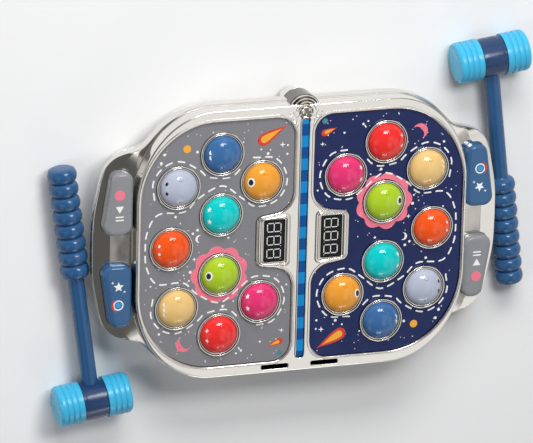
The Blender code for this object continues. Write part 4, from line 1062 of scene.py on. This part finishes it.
def dashes(curve):
    """Short rounded strokes laid one after another along a curve."""
    steps = [0.0]
    for here, after in zip(curve, curve[1:]):
        steps.append(steps[-1] + (after - here).length)
    count = int(steps[-1] // (DASH_LENGTH + DASH_GAP))
    pitch = steps[-1] / count
    strokes = []
    for index in range(count):
        low, high = index * pitch, index * pitch + DASH_LENGTH
        line = []
        for part in range(5):
            wanted = low + (high - low) * part / 4
            place = max(0, min(len(curve) - 2, sum(1 for step in steps if step <= wanted) - 1))
            share = (wanted - steps[place]) / (steps[place + 1] - steps[place])
            here, after = curve[place:place + 2]
            line.append((here.lerp(after, share), (after - here).normalized()))
        left_side = [point + Vector((-way.y, way.x)) * DASH_WIDTH / 2 for point, way in line]
        right_side = [point - Vector((-way.y, way.x)) * DASH_WIDTH / 2 for point, way in line]
        tip = line[-1][0] + line[-1][1] * DASH_WIDTH * 0.35
        tail = line[0][0] - line[0][1] * DASH_WIDTH * 0.35
        strokes.append([tuple(point) for point in right_side + [tip] + list(reversed(left_side)) + [tail]])
    return strokes


def clear_of_domes(point, room):
    return all((Vector(point) - Vector(centre)).length > room for centre in DOMES.values())


def inside_panel(point, margin):
    """Whether a place lies on the grey half's panel, that far from its edge."""
    x, y = abs(point[0]), abs(point[1])
    if x < PANEL_INNER + margin or (x < 52 + margin and y < 34 + margin):
        return False
    over_x = max(0, x - CORNER_X) / (PANEL_X - CORNER_X - margin)
    over_y = max(0, y - CORNER_Y) / (PANEL_Y - CORNER_Y - margin)
    return over_x ** 2 + over_y ** 2 < 1 and y < PANEL_Y - margin


def clear_of_orbits(point, room):
    return all((Vector(point) - step).length > room for curve in ORBITS for step in curve)


SKY_DOTS = 105


def sky_dots():
    """Scattered round stars: many fine ones and a few that are larger."""
    chance = random.Random(7)
    dots = []
    while len(dots) < SKY_DOTS:
        point = (chance.uniform(-176, -11), chance.uniform(-134, 134))
        radius = 0.45 + 1.25 * chance.random() ** 3.5
        clear = clear_of_domes(point, 25) and clear_of_orbits(point, 2.6)
        if inside_panel(point, 4) and clear:
            dots.append(moved(disc(radius, 12), *point))
    return dots


def comet(length, width, lean, place):
    """A pointed tail that swells to a round head."""
    points = [(0, 0)]
    for step in range(1, 9):
        points.append((step / 8 * length, -width / 2 * math.sin(step / 8 * math.pi / 2) ** 1.4))
    for step in range(1, 12):
        angle = math.radians(-90 + 180 * step / 12)
        points.append((length + width / 2 * math.cos(angle), width / 2 * math.sin(angle)))
    points += [(x, -y) for x, y in reversed(points[1:9])]
    return moved(tilted(points, lean), *place)


def lobed(radius, depth, lobes, place):
    """A round outline with bulges."""
    points = []
    steps = 96
    for step in range(steps):
        angle = math.tau * step / steps
        reach = radius + depth * abs(math.sin(angle * lobes / 2))
        points.append((reach * math.cos(angle), reach * math.sin(angle)))
    return moved(points, *place)


PRINTS = {
    "white": [stroke for curve in ORBITS for stroke in dashes(curve)] + sky_dots() + [
        moved(star(3.4, 1.0, 4), -24, 104),
        moved(star(2.6, 0.8, 4), -118, -14),
        moved(star(2.8, 0.8, 4), -20, -101),
        moved(crescent(4.2, 2.6, 60, 280), -113, 8)],
    "pink": [moved(crescent(8.5, 6.2, 110, 330), -128, -107)],
    "red": [comet(30, 13, 209, (-19, 125)), comet(15, 7, 20, (-36, -118))],
    "yellow": [moved(disc(4.2, 28), -128, 107)],
    "teal": [moved(disc(3.0, 24), -22, -126)],
}
YOLKS = [comet(22, 7.6, 209, (-25, 121.7)), comet(10, 3.6, 20, (-33, -117))]


def slabs(mesh, outlines, high=PRINT_TOP):
    for outline in outlines:
        slab(mesh, outline, PRINT_LOW, high)


def halo(mesh):
    """A printed collar of colour round a dome, open in the middle where the dome's own ring stands."""
    outer = lobed(27.5, 4.2, 9, DOMES["lime"])
    inner = moved(disc(COLLAR_RADIUS + 0.6, len(outer)), *DOMES["lime"])
    band(mesh, outer, inner, PRINT_LOW, PRINT_TOP - 0.02)


def print_piece(half, name, build, ink):
    piece(f"print_{name}_{half}", build, INKS[ink], side=HALVES[half])


for half in HALVES:
    for ink, outlines in PRINTS.items():
        print_piece(half, ink, lambda mesh: slabs(mesh, outlines), ink)
    print_piece(half, "yolk", lambda mesh: slabs(mesh, YOLKS, PRINT_TOP + 0.02), "yellow")
    print_piece(half, "halo", halo, "pink")


# End buttons

CROWN = 52.5
ICON_LOW = CROWN - 0.25
ICON_TOP = CROWN + 0.08
BUTTON_LOW = 33
BUTTON_KINDS = {("left", 1): "grey", ("left", -1): "blue", ("right", 1): "blue", ("right", -1): "grey"}


def end_button(mesh, end, row):
    outline = placed_button(BUTTON, end, row)
    steps = ((0.0, BUTTON_LOW), (0.0, CROWN - 2.8), (2.6, CROWN - 0.35), (6.0, CROWN))
    loft(mesh, [
        (shrunk(outline, inset) if inset else outline, z) for inset, z in eased_pairs(steps, [2.0, 1.4], 5)])


# Each kind's marks, by ink: outline, and place from the button's middle on the left end
DASH_MARK = rounded(rectangle_at(0, 0, 9, 1.5), 0.7, 3)
SPARK = tilted(star(1.8, 0.6, 4), 20)
RING_DROP = 9
ICON_MIDDLE = (198.5, 50)
ICONS = {
    "grey": {
        "pink": [(disc(5.6, 36), (0, 11))],
        "white": [
            (tilted(star(5.0, 2.5, 3), 180), (0, -3.5)),
            (DASH_MARK, (0, -12.5)), (DASH_MARK, (0, -16))],
    },
    "blue": {
        "white": [(star(5.6, 2.6, 5), (0, 11)), (SPARK, (-6.5, 16)), (SPARK, (6.5, 5.5))],
        "cyan": [(disc(3.2, 30), (0, -RING_DROP))],
        "red": [(crescent(7.6, 2.4, 120, 260), (0, -RING_DROP))],
    },
}
for (name, row), kind in BUTTON_KINDS.items():
    end = SIDES[name]
    node = f"button_{kind}_{name}"
    middle = (end * ICON_MIDDLE[0], row * ICON_MIDDLE[1])
    for ink, shapes in ICONS[kind].items():
        def build(mesh):
            for outline, (x, y) in shapes:
                flat = [(middle[0] - end * (x + px), middle[1] - end * (y + py)) for px, py in outline]
                slab(mesh, flat, ICON_LOW, ICON_TOP)
            if ink == "white" and kind == "blue":
                outer, inner = (moved(disc(radius, 36), *middle) for radius in (5.6, 4.3))
                drop = end * RING_DROP
                band(mesh, moved(outer, 0, drop), moved(inner, 0, drop), ICON_LOW, ICON_TOP)

        piece(f"icon_{ink}_{kind}_{name}", build, INKS[ink], node, [node])
    piece(f"end_{node}", lambda mesh: end_button(mesh, end, row), BUTTON_LOOKS[kind], node, [node])


# Mallets

SHAFT_END = 138
SHAFT_RADIUS = 8.5
RIBS = 8
RIB_PITCH = 15
RIB_RADIUS = 11.5
RIB_SWELL = 4.0
HEAD_RADIUS = 22


def grip(mesh, placing):
    line = [(0, 0), (SHAFT_RADIUS, 0), (SHAFT_RADIUS, SHAFT_END - 3), (9.6, SHAFT_END - 1)]
    for rib in range(RIBS):
        start = SHAFT_END + rib * RIB_PITCH
        for step in range(12):
            share = step / 12
            swell = math.sin(math.pi * share) ** 0.55 if share else 0.0
            line.append((RIB_RADIUS + RIB_SWELL * swell, start + share * RIB_PITCH))
    end = SHAFT_END + RIBS * RIB_PITCH
    line += [(RIB_RADIUS, end - 0.6), (10.6, end), (0, end)]
    turn(mesh, line, 48, placing)


def head_core(mesh, placing):
    line = [
        (0, -32), (16.5, -32), (16.5, -13), (20.2, -13), (20.5, -12.6), (20.5, -9), (20.9, -8.4), (20.9, 8.4),
        (20.5, 9), (20.5, 12.6), (20.2, 13), (16.5, 13), (16.5, 32), (0, 32)]
    turn(mesh, line, 56, placing)


def cap(mesh, placing):
    line = [(0, 32.3), (16.8, 32.3), (16.8, 13.3), (HEAD_RADIUS, 13.3)]
    for start in (19, 25, 31):
        line += [(HEAD_RADIUS, start), (21, start + 0.5), (21, start + 1.5), (HEAD_RADIUS, start + 2)]
    line += [(HEAD_RADIUS, 36.5), (20.4, 39.2), (16, 40), (0, 40)]
    turn(mesh, eased_pairs(line, 0.45, 2), 56, placing)


CREST_LAST = SHAFT_END + (RIBS - 0.27) * RIB_PITCH
DIP = math.asin((HEAD_RADIUS - RIB_RADIUS - RIB_SWELL) / CREST_LAST)
MALLET_X = 216.5
MALLET_Y = 172
MALLET_TURN = math.radians(7.75)
ALONG_HEAD = Matrix.Rotation(math.pi / 2, 4, "Y")
ALONG_SHAFT = Matrix.Rotation(-math.pi / 2, 4, "X")
for name, side in SIDES.items():
    spin = MALLET_TURN + (math.pi if side > 0 else 0)
    placing = (
        Matrix.Translation((side * MALLET_X, side * MALLET_Y, HEAD_RADIUS))
        @ Matrix.Rotation(spin, 4, "Z") @ Matrix.Rotation(-DIP, 4, "X"))
    body = f"mallet_{name}"
    handle = [f"mallet_handle_{name}"]
    piece(f"grip_{name}", lambda mesh: grip(mesh, placing @ ALONG_SHAFT), MALLET_BLUE, body, handle)
    piece(f"head_core_{name}", lambda mesh: head_core(mesh, placing @ ALONG_HEAD), MALLET_DARK, body, handle)
    for face, way in (("a", 0.0), ("b", math.pi)):
        piece(
            f"head_cap_{face}_{name}",
            lambda mesh: cap(mesh, placing @ Matrix.Rotation(way, 4, "Z") @ ALONG_HEAD),
            CAP_CYAN, body, [f"mallet_cap_{face}_{name}"])


# CAD nodes that are shown as they are, by the first of these words that a name holds

STEEL = finish("steel", (190, 190, 192), 0.25, 0.35, 0.03, metallic=1.0)
CARRIED = {
    "contact": STEEL,
    "screw": STEEL,
    "coin_drawer": finish("drawer_slate", (40, 62, 74), 0.25, 0.35, 0.04),
    "switch_plate": finish("switch_slate", (38, 58, 70), 0.3, 0.4, 0.04),
    "switch_knob": finish("knob_slate", (34, 52, 64), 0.3, 0.4, 0.04),
    "battery_door": finish("door_silver", (190, 192, 196), 0.3, 0.4, 0.03, metallic=0.8),
    "speaker": finish("speaker_black", (28, 28, 30), 0.6, 0.7, 0.05),
    "board": finish("board_green", (30, 96, 60), 0.35, 0.5, 0.02),
    "mat": finish("mat_rubber", (210, 210, 204), 0.55, 0.7, 0.05),
    "foot": finish("foot_rubber", (36, 36, 38), 0.7, 0.85, 0.05),
    "battery": finish("cell_wrap", (60, 62, 70), 0.3, 0.4, 0.02),
    "module": finish("module_shell", (24, 40, 46), 0.4, 0.5, 0.02),
}
for node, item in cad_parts.items():
    look = next((made for word, made in CARRIED.items() if word in node), None)
    if look:
        item.data.materials.clear()
        item.data.materials.append(look)


# Floor, light and camera

ground = bmesh.new()
bmesh.ops.create_grid(ground, x_segments=2, y_segments=2, size=6)
ground_data = bpy.data.meshes.new("floor")
ground.to_mesh(ground_data)
ground.free()
ground_data.materials.append(finish("floor", (236, 236, 236), 0.6, 0.7, 0.0, drift=0.005))
put("floor", ground_data)

TO_CAMERA = Vector((-0.3148, 0.3190, 0.8940)).normalized()


def studio_world():
    """A pale studio: white to the camera, softly graded in reflections, plain grey for its light."""
    world = bpy.data.worlds.new("studio")
    world.use_nodes = True
    tree = world.node_tree
    ray = add(tree, "ShaderNodeLightPath").outputs
    way = add(tree, "ShaderNodeTexCoord").outputs["Generated"]
    bands = add(tree, "ShaderNodeTexNoise", {"Vector": way, "Scale": 1.4, "Detail": 3.0, "Roughness": 0.6})
    mirrored = (-TO_CAMERA.x, -TO_CAMERA.y, TO_CAMERA.z)
    facing = add(tree, "ShaderNodeVectorMath", {0: way, 1: mirrored}, operation="DOT_PRODUCT")
    glow = add(tree, "ShaderNodeMapRange", {
        "Value": facing.outputs["Value"], "From Min": 0.975, "From Max": 0.9985, "To Max": 0.13})
    both = add(tree, "ShaderNodeMath", {0: bands.outputs["Fac"], 1: glow.outputs["Result"]}, operation="ADD")
    grade = add(tree, "ShaderNodeValToRGB", {"Fac": both.outputs["Value"]})
    for stop, place, colour in zip(
            grade.color_ramp.elements, (0.44, 0.59), ((0.11, 0.107, 0.102, 1), (0.96, 0.955, 0.94, 1))):
        stop.position = place
        stop.color = colour
    shiny = add(tree, "ShaderNodeMix", {
        "A": (0.15, 0.153, 0.162, 1), "B": grade.outputs["Color"], "Factor": ray["Is Glossy Ray"]},
        data_type="RGBA")
    seen = add(tree, "ShaderNodeMix", {
        "A": shiny.outputs["Result"], "B": (1, 1, 1, 1), "Factor": ray["Is Camera Ray"]}, data_type="RGBA")
    tree.links.new(seen.outputs["Result"], tree.nodes["Background"].inputs["Color"])
    bpy.context.scene.world = world


studio_world()


def lamp(name, place, size, watts, mirrored=True):
    """A soft panel of light turned to the origin; mirrored says whether glossy surfaces show it."""
    data = bpy.data.lights.new(name, "AREA")
    data.shape = "RECTANGLE"
    data.size, data.size_y = size
    data.energy = watts
    item = put(name, data)
    item.visible_glossy = mirrored
    turned = (-Vector(place)).to_track_quat("-Z", "Y").to_matrix().to_4x4()
    item.matrix_world = Matrix.Translation(place) @ turned


lamp("softbox_key", (0.25, 0.95, 1.5), (0.7, 0.45), 15)
lamp("softbox_back", (0, 4.6, 2.9), (3.4, 1.6), 200, mirrored=False)
lamp("softbox_side", (-1.4, -0.1, 0.9), (0.4, 0.8), 5, mirrored=False)
lamp("strip_front", (0.3, -1.3, 0.8), (0.5, 0.2), 1.4)

# The photo's camera from its fit: roll, distance, focal length, aim, and where the panels' middle falls
ROLL = math.radians(1.587)
DISTANCE = 5.2772
FOCAL = 5047.0
PHOTO_WIDTH = 533
SENSOR_WIDTH = 36
AIM_PX = (272.0, 221.5)
ANCHOR_PX = (307.449, 237.593)
right = (-TO_CAMERA).cross(Vector((0, 1, 0))).normalized()
upward = right.cross(-TO_CAMERA).normalized()
right, upward = (
    math.cos(ROLL) * right + math.sin(ROLL) * upward, -math.sin(ROLL) * right + math.cos(ROLL) * upward)
place = Vector((0, 0, PANEL_TOP * MM)) + TO_CAMERA * DISTANCE
ahead = -TO_CAMERA * FOCAL + right * (AIM_PX[0] - ANCHOR_PX[0]) - upward * (AIM_PX[1] - ANCHOR_PX[1])
ahead.normalize()
side_way = ahead.cross(upward).normalized()
up_way = side_way.cross(ahead).normalized()
camera_data = bpy.data.cameras.new("camera")
camera_data.sensor_fit = "HORIZONTAL"
camera_data.sensor_width = SENSOR_WIDTH
camera_data.lens = FOCAL * SENSOR_WIDTH / PHOTO_WIDTH
camera_data.clip_end = 50
camera = put("camera", camera_data)
turned = Matrix((side_way, up_way, -ahead)).transposed().to_4x4()
camera.matrix_world = Matrix.Translation(place) @ turned
bpy.context.scene.camera = camera
bpy.context.scene.view_settings.view_transform = "Standard"
